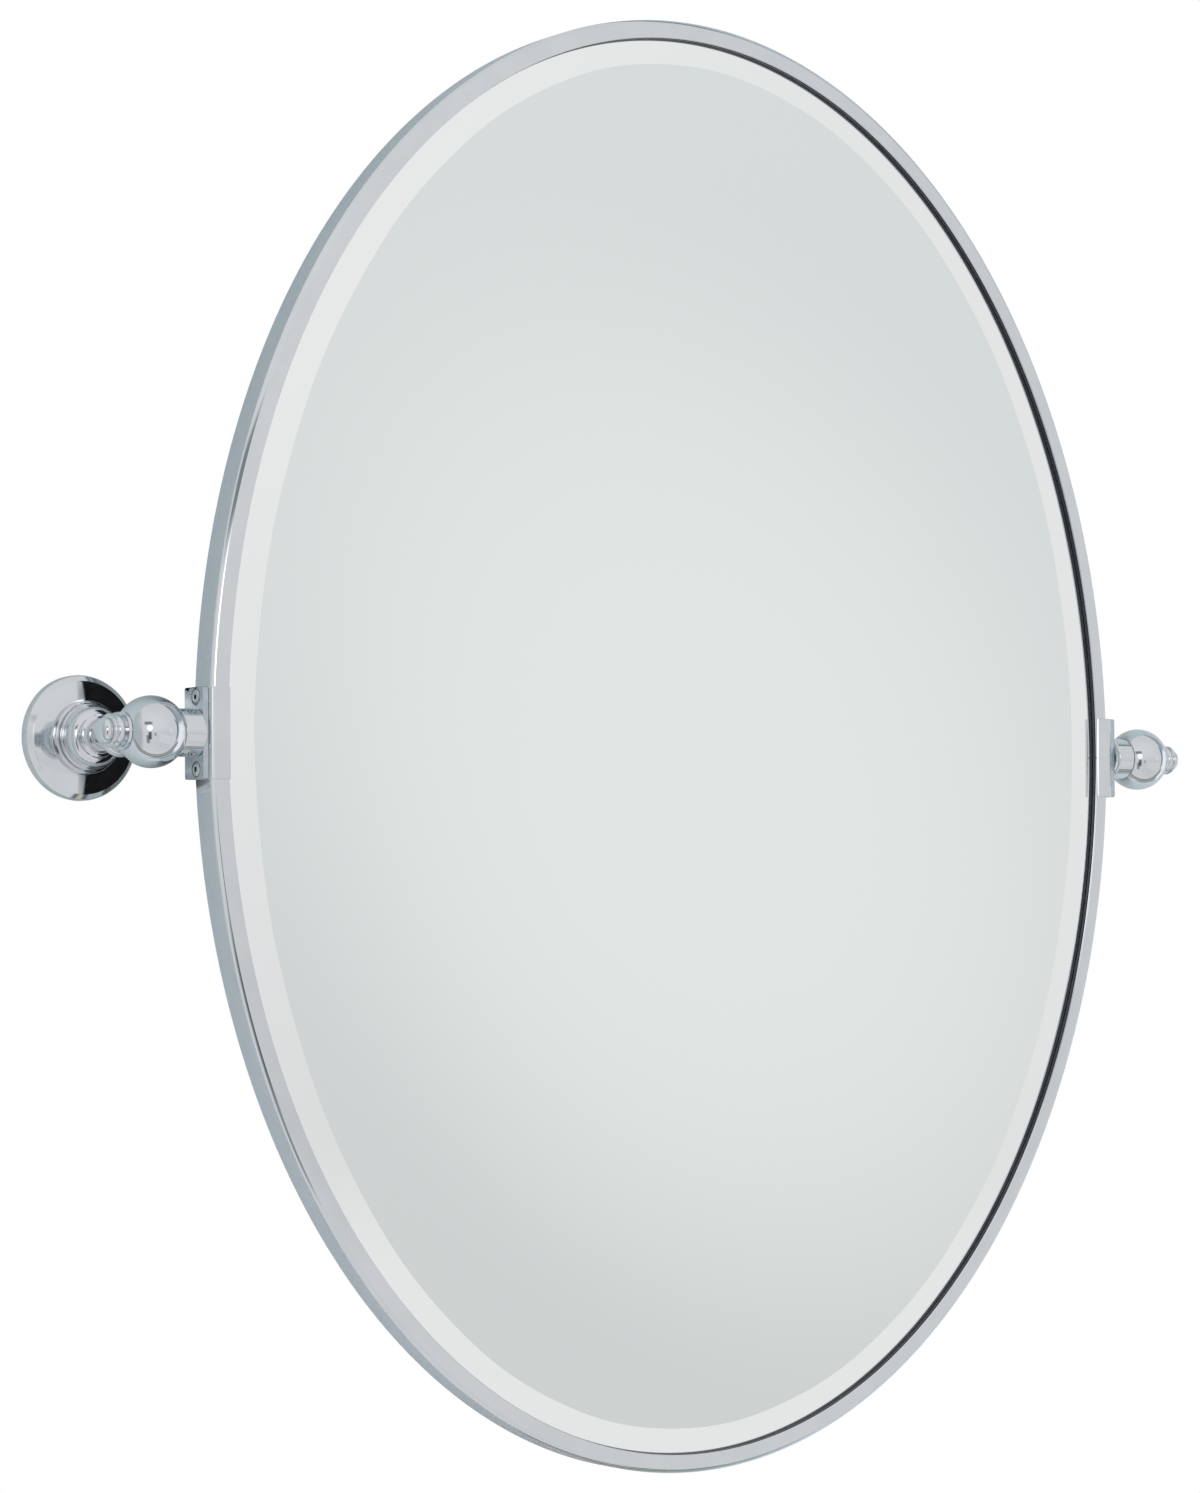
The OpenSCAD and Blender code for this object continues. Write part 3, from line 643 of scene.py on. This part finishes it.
# The strap's gap to the frame, and the radii of its bend inside and outside
STRAP_GAP, BEND_IN, BEND_OUT = 0.1, 1.9, 3.4


def hex_radius(angle, flats):
    """Distance from a hexagon's centre to its side in one direction."""
    a = (angle + math.pi / 6) % (math.pi / 3) - math.pi / 6
    return flats / 2 / math.cos(a)


def clamp_screw(name, place, z):
    """Countersunk screw with a hexagon socket, in its own mesh."""
    turn, origin = place
    dome = ((3.74, 0.0), (3.60, 0.10), (3.30, 0.22), (2.90, 0.33), (2.45, 0.42), (1.95, 0.48))

    def circle(r):
        return lambda a: r

    def hexagon(wider):
        return lambda a: hex_radius(a, SOCKET_FLATS) + wider

    # Each ring's radius by direction and its height: shank, head, dome, then down the socket
    rings = [(circle(0.0), SCREW_END), (circle(1.7), SCREW_END), (circle(2.0), SCREW_END + 0.3),
             (circle(2.0), SCREW_TOP - 1.8), (circle(3.72), SCREW_TOP - 0.1)]
    rings += [(circle(r), SCREW_TOP + h) for r, h in dome]
    rings += [(hexagon(0.12), SCREW_TOP + 0.5), (hexagon(0.02), SCREW_TOP + 0.38),
              (hexagon(0.0), SCREW_TOP - SOCKET_DEPTH),
              (circle(0.0), SCREW_TOP - SOCKET_DEPTH - 0.35)]
    points, faces, finishes, loops = [], [], [], []
    for radius, x in rings:
        loop = []
        for j in range(1 if radius(0) == 0 else SCREW_STEPS):
            a = 2 * math.pi * j / SCREW_STEPS
            loop.append(len(points))
            spot = turn @ Vector((radius(a) * math.cos(a), radius(a) * math.sin(a), x))
            points.append((spot + origin + Vector((0, 0, z))) * MM)
        loops.append(loop)
    for i in range(len(loops) - 1):
        faces += joined(loops[i], loops[i + 1], SCREW_STEPS)
        # The last rings, down the socket, take the darker finish that is painted shade of the
        # recess
        finishes += [1 if i >= len(loops) - 3 else 0] * SCREW_STEPS
    obj = new_object(name, points, faces)
    finish_faces(obj, (M_SCREW, M_SOCKET_PAINTED_SHADE), finishes)
    turned_out(obj)
    obj.data.set_sharp_from_angle(angle=math.radians(38))
    return obj


def side_place(side):
    """Local z runs outwards from the middle of the mirror along the pivot."""
    return along_pivot(side)[0], Vector((0, -PIVOT, 0))


def clamp_plate(side, name):
    """Rounded plate, countersunk for its two screws."""
    turn = Matrix(((0, 0, side), (1, 0, 0), (0, 1, 0)))
    h, r = CLAMP_H / 2, PLATE_CORNER
    outline = rounded([(PLATE_ROOM, -h, r), (PLATE_WALL, -h, r),
                       (PLATE_WALL, h, r), (PLATE_ROOM, h, r)], 8)
    plate = extruded(name, outline, PLATE_OUT - PLATE_IN,
                     (turn, Vector((side * PLATE_IN, -PIVOT, 0))))
    turn, middle = side_place(side)
    cutters = [
        lathe(name + "_cutter", COUNTERSINK, (turn, middle + Vector((0, 0, z))), CUTTER_STEPS)
        for z in (-SCREW_PITCH / 2, SCREW_PITCH / 2)]
    return cut_and_soften(plate, cutters, 0.22)


def lip_strap(side, name):
    """Folded strap: flat over the lip, round the corner and down the band."""
    front = LIP_FRONT + STRAP_GAP
    outline = rounded([
        (HALF_W - LIP_W, front, 0), (HALF_W - LIP_W, front + STRAP_T, 0),
        (PLATE_IN, front + STRAP_T, BEND_OUT), (PLATE_IN, BAND_BACK, 0),
        (HALF_W + STRAP_GAP, BAND_BACK, 0), (HALF_W + STRAP_GAP, front, BEND_IN)], 12)
    turn = Matrix(((side, 0, 0), (0, -1, 0), (0, 0, 1)))
    strap = extruded(name, outline, CLAMP_H, (turn, Vector((0, 0, -CLAMP_H / 2))))
    return cut_and_soften(strap, [], 0.2)


for side, word in SIDES:
    plate = clamp_plate(side, word + "_clamp_cheek")
    # The plate takes the darker chrome that carries a painted reflection
    piece(plate, "mirror", [word + "_clamp_plate"], M_PLATE_PAINTED_REFLECTION)
    strap = lip_strap(side, word + "_strap")
    piece(strap, "mirror", [word + "_lip_strap"], M_CLAMP)
    for z, end in ((SCREW_PITCH / 2, "upper"), (-SCREW_PITCH / 2, "lower")):
        screw = clamp_screw(word + "_clamp_screw_" + end, side_place(side), z)
        piece(screw, "mirror", [word + "_clamp_screws"])


# ---------------------------------------------------------------- turned parts

# The radii of the ball's flats, and how far from its centre each flat lies
SEAT_R, ARM_R = 9.45, 9.8
BARREL_FLAT = math.sqrt(BALL_R ** 2 - BARREL_R ** 2)
FINIAL_FLAT = math.sqrt(BALL_R ** 2 - SEAT_R ** 2)
ARM_FLAT = math.sqrt(BALL_R ** 2 - ARM_R ** 2)
# Heights from the wall of the base collar's foot, the arm's foot and the arm's end
COLLAR_FOOT, ARM_FOOT, ARM_END = 8.8, 14.6, 60.9
STUD_HOLE_R = 3.2


def ball(side, name):
    """Ball with flats for the barrel, the finial and the arm."""
    low = math.degrees(math.asin(-BARREL_FLAT / BALL_R))
    high = math.degrees(math.asin(FINIAL_FLAT / BALL_R))
    corners = [(BORE_R, -BARREL_FLAT, 0)]
    corners += arc(0, 0, BALL_R, BALL_R, low, high, 72)
    corners += [(BORE_R, FINIAL_FLAT, 0)]
    obj = lathe(name, corners, along_pivot(side), FINE_TURN_STEPS)
    wall_flat = -(PIVOT - ARM_FLAT) * MM
    for v in obj.data.vertices:
        v.co.y = min(v.co.y, wall_flat)
    return obj


def barrel(side, name):
    """Plain sleeve, laid from the ball towards the mirror."""
    start, end = -13.57, -25.4
    corners = [(BORE_R, start, 0), (BARREL_R, start, 0.4), (BARREL_R, end, 1.1), (BORE_R, end, 0)]
    return lathe(name, corners, along_pivot(side), round_steps=8)


def finial(side, name):
    """Tension nut: collar, groove, a bead with a fine line round it, step and domed button."""
    seat, bore_end = 15.37, 25.27
    collar_r, collar_end = 9.5, 17.27
    groove_r, groove_end = 7.2, 18.17
    line_r, line_at = 7.75, 22.62
    step_r, step_start, step_end = 6.3, 24.97, 25.77
    button_r, button_h = 6.7, 4.8
    corners = [(0, bore_end, 0), (BORE_R, bore_end, 0), (BORE_R, seat, 0),
               (collar_r, seat, 0.5), (collar_r, collar_end, 0.5),
               (groove_r, collar_end, 0.15), (groove_r, groove_end, 0.15)]
    corners += arc(6.9, 20.4, 1.6, 2.15, -75, 72, 20)
    corners += [(line_r, line_at, 0.1)]
    corners += arc(7.2, 23.7, 1.3, 1.1, -65, 78, 20)
    corners += [(step_r, step_start, 0.15), (step_r, step_end, 0.1)]
    corners += arc(0, step_end, button_r, button_h, 0, 90, 24)
    return lathe(name, corners, along_pivot(side), round_steps=6)


def arm(side, name):
    """Cup, neck, bead and end collar, turned from one bar."""
    cup_r, shoulder, neck_r = 15.6, 17.0, 8.0
    bead_r, bead_mid, bulge = 11.4, 44.4, 3.5
    root = bead_r - bulge * (1 - math.cos(math.radians(60)))
    bead_start = bead_mid - bulge * math.sin(math.radians(60))
    bead_end = bead_mid + bulge * math.sin(math.radians(60))
    waist = bead_end + 1.6
    corners = [(0, ARM_FOOT, 0), (cup_r, ARM_FOOT, 0.5), (cup_r, shoulder, 0)]
    corners += arc(10.8, shoulder, 4.8, 5.8, 0, 90, 24)[1:]
    corners += arc(10.8, 25.6, 2.8, 2.8, 270, 180, 16)
    corners += flare(neck_r, root, bead_start - 5.0, bead_start, 16)
    corners += arc(bead_r - bulge, bead_mid, bulge, bulge, -60, 60, 24)[1:-1]
    corners += flare(root, 9.4, bead_end, waist, 8)[:-1]
    corners += flare(9.0, ARM_R, waist, bead_end + 5.0, 12)
    corners += [(ARM_R, ARM_END, 0.2), (4.0, ARM_END, 0), (0, ARM_END, 0)]
    return lathe(name, corners, at_bracket(side), round_steps=6)


def base_collar(side, name):
    """Stepped ring with a groove, at the foot of the arm."""
    foot_r, groove_r, top_r = 18.6, 16.0, 16.9
    corners = [
        (STUD_HOLE_R, COLLAR_FOOT, 0), (foot_r, COLLAR_FOOT, 0.15), (foot_r, 12.2, 0.7),
        (16.3, 12.2, 0.25), (groove_r, 12.6, 0.15), (groove_r, 13.0, 0.15),
        (top_r, 13.0, 0.35), (top_r, ARM_FOOT, 0.5), (STUD_HOLE_R, ARM_FOOT, 0)]
    return lathe(name, corners, at_bracket(side), round_steps=6)


# The flange's face is slightly crowned: a long arc from the foot ring to the rim
CROWN_R = 86.0
CROWN_X, CROWN_Y = 9.85, -76.93


def flange(side, name):
    """Crowned wall cover with a rounded rim, open behind."""
    open_r, roof, rim_roof = 27.4, 7.0, 4.9
    corners = [(open_r, 0, 0.3), (FLANGE_R, 0, 0.4)]
    corners += arc(29.9, 2.9, 2.1, 2.6, 0, 45, 12)
    corners += [(28.9, 6.86, 0.5)]
    corners += arc(CROWN_X, CROWN_Y, CROWN_R, CROWN_R, 77.3, 84, 16)
    corners += [(STUD_HOLE_R, COLLAR_FOOT, 0), (STUD_HOLE_R, roof, 0), (17.2, roof, 0.5),
                (25.6, rim_roof, 0.3), (open_r, rim_roof, 0.3)]
    return lathe(name, corners, at_bracket(side), FINE_TURN_STEPS, round_steps=6)


for side, word in SIDES:
    for build, label, body, node in (
            (ball, "_globe", "wall_brackets", "_ball"),
            (barrel, "_sleeve", "mirror", "_barrel"),
            (finial, "_knob", word + "_tension_nut", "_finial"),
            (arm, "_turned_arm", "wall_brackets", "_arm"),
            (base_collar, "_foot_ring", "wall_brackets", "_base_collar"),
            (flange, "_wall_cover", "wall_brackets", "_flange")):
        piece(build(side, word + label), body, [word + node], M_TURNED)


# ---------------------------------------------------------------- CAD nodes that stay

# By a node's whole name, or by its name without left or right
STAYS = {
    "foam_pad": M_FOAM, "backing_board": M_BLACK_BOARD_AND_SHADE, "setting_blocks": M_RUBBER,
    "retaining_tabs": M_ZINC, "nut_plate": M_ZINC, "wall_plate": M_ZINC, "arm_nut": M_ZINC,
    "pivot_stud": M_STEEL, "arm_stud": M_STEEL, "set_screw": M_STEEL,
    "friction_washer": M_NYLON,
}
for node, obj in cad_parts.items():
    mat = STAYS.get(node) or STAYS.get(node.split("_", 1)[1])
    if mat is None:
        continue
    if not obj.data.materials:
        obj.data.materials.append(mat)
    for index in range(len(obj.material_slots)):
        obj.material_slots[index].material = mat


# ---------------------------------------------------------------- camera

YAW, PITCH, ROLL = 35.987, 0.413, -0.307
DISTANCE = 2073.91
AIM_X, AIM_Z = -61.22, -80.97
FOCAL_PX = 3870.9
CENTRE_PX = (600.0, 895.5)
FRAME_PX = (1200.0, 1493.0)
SENSOR = 36.0


def direction(yaw, elevation):
    """Unit vector; yaw 0 is into the wall and 90 is to the right."""
    a, e = math.radians(yaw), math.radians(elevation)
    return Vector((math.sin(a) * math.cos(e), math.cos(a) * math.cos(e), math.sin(e)))


def sight(yaw, elevation, roll=0.0):
    """A direction, with the axes to its right and upwards, which roll turns clockwise."""
    a, r = math.radians(yaw), math.radians(roll)
    ahead = direction(yaw, elevation)
    level = Vector((math.cos(a), -math.sin(a), 0))
    above = level.cross(ahead)
    right = level * math.cos(r) - above * math.sin(r)
    up = above * math.cos(r) + level * math.sin(r)
    return ahead, right, up


def make_camera():
    """The camera that was fitted to the photograph."""
    ahead, right, up = sight(YAW, PITCH, -ROLL)
    spot = Vector((AIM_X, -PIVOT, AIM_Z)) - ahead * DISTANCE
    cam = bpy.data.objects.new("camera", bpy.data.cameras.new("camera"))
    cam.data.sensor_width = SENSOR
    cam.data.lens = FOCAL_PX / FRAME_PX[1] * SENSOR
    cam.data.shift_x = (FRAME_PX[0] / 2 - CENTRE_PX[0]) / FRAME_PX[1]
    cam.data.shift_y = (CENTRE_PX[1] - FRAME_PX[1] / 2) / FRAME_PX[1]
    cam.data.clip_start, cam.data.clip_end = 0.05, 60
    grid = Matrix((right, up, -ahead)).transposed().to_4x4()
    grid.translation = spot * MM
    cam.matrix_world = grid
    bpy.context.scene.collection.objects.link(cam)
    bpy.context.scene.camera = cam


make_camera()


# ---------------------------------------------------------------- studio

class Sky:
    """The studio round the object, as tones by direction."""

    def __init__(self):
        self.world = bpy.data.worlds.new("studio")
        bpy.context.scene.world = self.world
        self.world.use_nodes = True
        self.nodes = self.world.node_tree.nodes
        self.links = self.world.node_tree.links
        self.nodes.clear()
        self.way = self.nodes.new("ShaderNodeTexCoord").outputs["Generated"]
        self.colour = None

    def dot(self, axis):
        made = self.nodes.new("ShaderNodeVectorMath")
        made.operation = "DOT_PRODUCT"
        made.inputs[1].default_value = axis
        self.links.new(self.way, made.inputs[0])
        return made.outputs["Value"]

    def math(self, operation, a, b=0.0):
        made = self.nodes.new("ShaderNodeMath")
        made.operation = operation
        for socket, value in zip(made.inputs, (a, b)):
            if isinstance(value, (int, float)):
                socket.default_value = value
            else:
                self.links.new(value, socket)
        return made.outputs[0]

    def smooth(self, value, low, high):
        made = self.nodes.new("ShaderNodeMapRange")
        made.interpolation_type = "SMOOTHSTEP"
        made.inputs["From Min"].default_value = low
        made.inputs["From Max"].default_value = high
        self.links.new(value, made.inputs["Value"])
        return made.outputs["Result"]

    def inside(self, value, low, high):
        """A mask that is 1 below low and 0 above high."""
        return self.math("SUBTRACT", 1.0, self.smooth(value, low, high))

    def blend(self, mask, colour):
        """Lays a colour over what is there, by a mask."""
        made = self.nodes.new("ShaderNodeMix")
        made.data_type = "RGBA"
        self.links.new(mask, made.inputs["Factor"])
        if isinstance(self.colour, tuple):
            made.inputs[6].default_value = (*self.colour, 1)
        else:
            self.links.new(self.colour, made.inputs[6])
        made.inputs[7].default_value = (*colour, 1)
        self.colour = made.outputs[2]

    def patch(self, yaw, elevation, half_w, half_h, soft, colour, share=1.0):
        """A soft-edged panel, sizes in degrees."""
        ahead, right, up = sight(yaw, elevation)
        depth = self.math("MAXIMUM", self.dot(ahead), 0.001)
        masks = []
        for axis, half in ((right, half_w), (up, half_h)):
            away = self.math("ABSOLUTE", self.math("DIVIDE", self.dot(axis), depth))
            inner = math.tan(math.radians(max(half - soft, 0.0)))
            outer = math.tan(math.radians(min(half + soft, 88.0)))
            masks.append(self.inside(away, inner, outer))
        mask = self.math("MULTIPLY", masks[0], masks[1])
        self.blend(self.math("MULTIPLY", mask, share), colour)

    def glow(self, yaw, elevation, wide, high, colour, roll=0.0):
        """A soft oval of light, sizes in degrees."""
        ahead, right, up = sight(yaw, elevation, roll)
        depth = self.math("MAXIMUM", self.dot(ahead), 0.001)
        parts = []
        for axis, size in ((right, wide), (up, high)):
            reach = self.math("MULTIPLY", depth, math.tan(math.radians(size)))
            away = self.math("DIVIDE", self.dot(axis), reach)
            parts.append(self.math("MULTIPLY", away, away))
        self.blend(self.inside(self.math("ADD", parts[0], parts[1]), 0.0, 1.0), colour)

    def finish(self):
        """Shows plain white to the camera and the tones to everything else."""
        background = self.nodes.new("ShaderNodeBackground")
        self.links.new(self.colour, background.inputs["Color"])
        white = self.nodes.new("ShaderNodeBackground")
        white.inputs["Color"].default_value = (1, 1, 1, 1)
        white.inputs["Strength"].default_value = 1.0
        path = self.nodes.new("ShaderNodeLightPath")
        mix = self.nodes.new("ShaderNodeMixShader")
        self.links.new(path.outputs["Is Camera Ray"], mix.inputs["Fac"])
        self.links.new(background.outputs[0], mix.inputs[1])
        self.links.new(white.outputs[0], mix.inputs[2])
        out = self.nodes.new("ShaderNodeOutputWorld")
        self.links.new(mix.outputs[0], out.inputs["Surface"])


sky = Sky()
# The room past the wall's edge: cooler and darker above, white to the right
sky.colour = (0.42, 0.50, 0.53)
sky.patch(84, -10, 26, 27, 5, (1.08, 1.10, 1.15))
# A sheet, lit from the front, fills the half in front of the object, tilted up a little.
# It ends on the left in a dimmer room
above = sky.math("MAXIMUM", sky.dot((0, 0, 1)))
edge = sky.math("ADD", sky.dot((-0.435, -0.88, 0)), sky.math("MULTIPLY", above, 0.28))
sky.blend(sky.smooth(edge, -0.03, 0.03), (0.800, 0.806, 0.812))
sky.blend(sky.smooth(sky.dot(direction(300, 0)), 0.34, 0.52), (0.52, 0.575, 0.59))
# The sheet is a little brighter above the camera and dimmer at its lower right
sky.patch(196, 32, 34, 26, 24, (0.88, 0.885, 0.89), 0.8)
sky.patch(160, -30, 26, 24, 20, (0.70, 0.71, 0.725), 0.8)
# Dark-blue shade along the sheet's upper right edge
rim = sky.inside(sky.math("ABSOLUTE", edge), 0.022, 0.060)
upper_right = sky.smooth(sky.dot(direction(112, 38)), 0.45, 0.80)
sky.blend(sky.math("MULTIPLY", rim, upper_right), (0.20, 0.27, 0.32))
# What the glass faces: the sheet's dimmer foot, the floor in front of it, and its bright middle
sky.patch(144, -16, 14, 15.1, 7, (0.728, 0.732, 0.735))
sky.patch(152, -22.5, 28, 12.6, 2.2, (0.815, 0.817, 0.820), 0.95)
sky.glow(142.6, 1.95, 6.9, 9.9, (0.902, 0.902, 0.902), 24.7)
# Dark-blue gap at the sheet's right edge, and the double line of its lower edge
sky.patch(116, 6, 1.8, 22, 0.9, (0.13, 0.17, 0.22))
below = sky.smooth(sky.dot((0, 0, -1)), 0.25, 0.45)
fold = sky.math("ABSOLUTE", sky.math("SUBTRACT", sky.dot((-0.15, -0.98, 0)), 0.125))
sky.blend(sky.math("MULTIPLY", below, sky.inside(fold, 0.07, 0.09)), (0.13, 0.14, 0.15))
sky.blend(sky.math("MULTIPLY", below, sky.inside(fold, 0.026, 0.040)), (0.62, 0.58, 0.50))
# The camera on its stand: the stand's foot, the dark camera, and a smaller thing beside it
sky.patch(219, -26, 4.5, 13, 3.0, (0.16, 0.17, 0.19), 0.8)
sky.patch(212, -15, 5.0, 12, 3.5, (0.04, 0.04, 0.05), 0.9)
sky.patch(195, -10, 3.0, 5, 3.0, (0.16, 0.17, 0.19), 0.7)
# The window light above them, and the dark head rail over the window
sky.glow(212.6, 10.0, 10.0, 11.0, (2.6, 2.6, 2.6))
sky.patch(218, 24.5, 12, 5.0, 3.0, (0.15, 0.19, 0.21), 0.85)
sky.finish()

# From here on, places and sizes are in metres
LAMP_AIM = Vector((0, -0.05, 0))
FLOOR_Z = -1.35
FLOOR_HALF = 7.0
WALL_LEFT, WALL_RIGHT, WALL_TOP = -2.2, 1.2, 1.35
WALL_Y = 0.0005


def lamp(name, spot, size, watts):
    """Large soft lamp that isn't seen in the chrome."""
    data = bpy.data.lights.new(name, "AREA")
    data.shape = "RECTANGLE"
    data.size = data.size_y = size
    data.energy = watts
    obj = bpy.data.objects.new(name, data)
    obj.location = spot
    obj.rotation_mode = "QUATERNION"
    obj.rotation_quaternion = (LAMP_AIM - Vector(spot)).to_track_quat("-Z", "Y")
    obj.visible_glossy = False
    obj.visible_camera = False
    bpy.context.scene.collection.objects.link(obj)


lamp("key", (-1.9, -2.3, 1.5), 1.6, 26)
lamp("fill", (2.2, -1.8, 0.6), 1.8, 14)


def pale_floor():
    """Plain pale floor well below the mirror, white to the camera."""
    bm = bmesh.new()
    bmesh.ops.create_grid(bm, x_segments=24, y_segments=24, size=FLOOR_HALF)
    mesh = bpy.data.meshes.new("floor")
    bm.to_mesh(mesh)
    bm.free()
    obj = bpy.data.objects.new("floor", mesh)
    obj.location = (0, -1.0, FLOOR_Z)
    bpy.context.scene.collection.objects.link(obj)
    t = Tree("floor_paper")
    grain = t.noise(t.coords(), 3.0, 4.0, 0.5)
    t.into("Base Color", t.mix(grain, (0.86, 0.86, 0.86), (0.90, 0.90, 0.90)))
    t.set(Roughness=0.9)
    path = t.node("ShaderNodeLightPath")
    glow = t.node("ShaderNodeEmission", in_Strength=1.0)
    mix = t.node("ShaderNodeMixShader")
    out = t.nodes["Material Output"]
    t.link(path.outputs["Is Camera Ray"], mix.inputs["Fac"])
    t.link(t.shader.outputs[0], mix.inputs[1])
    t.link(glow.outputs[0], mix.inputs[2])
    t.link(mix.outputs[0], out.inputs["Surface"])
    mesh.materials.append(t.mat)
    obj.visible_glossy = False


pale_floor()


def wall_board():
    """The pale wall behind the object, open behind the wall plates, its colour lighter towards the
    bottom as painted light. Only the chrome sees it.
    """
    near, far, half = (v * MM for v in (BALL_X - FLANGE_R, BALL_X + FLANGE_R, FLANGE_R))
    columns = (WALL_LEFT, -far, -near, near, far, WALL_RIGHT)
    rows = (FLOOR_Z, -half, half, WALL_TOP)
    open_cells = ((1, 1), (1, 3))
    points = [(x, WALL_Y, z) for z in rows for x in columns]
    wide = len(columns)
    faces = [(r * wide + c, r * wide + c + 1, (r + 1) * wide + c + 1, (r + 1) * wide + c)
             for r in range(len(rows) - 1) for c in range(wide - 1) if (r, c) not in open_cells]
    mesh = bpy.data.meshes.new("wall")
    mesh.from_pydata(points, [], faces)
    mesh.update()
    obj = bpy.data.objects.new("wall", mesh)
    bpy.context.scene.collection.objects.link(obj)
    t = Tree("wall_paint")
    height = t.node("ShaderNodeSeparateXYZ")
    t.link(t.coords(), height.inputs[0])
    # Painted light: the wall's colour runs from light at the bottom to a darker, bluer grey above,
    # standing in for how the light falls on it
    painted_light_by_height = t.span(height.outputs["Z"], -0.675, 0.54, 0, 1)
    t.into("Base Color", t.mix(painted_light_by_height, (0.74, 0.79, 0.83), (0.54, 0.62, 0.645)))
    t.set(Roughness=0.8)
    mesh.materials.append(t.mat)
    obj.visible_camera = False
    obj.visible_diffuse = False
    obj.visible_shadow = False


wall_board()

bpy.context.scene.view_settings.view_transform = "Standard"
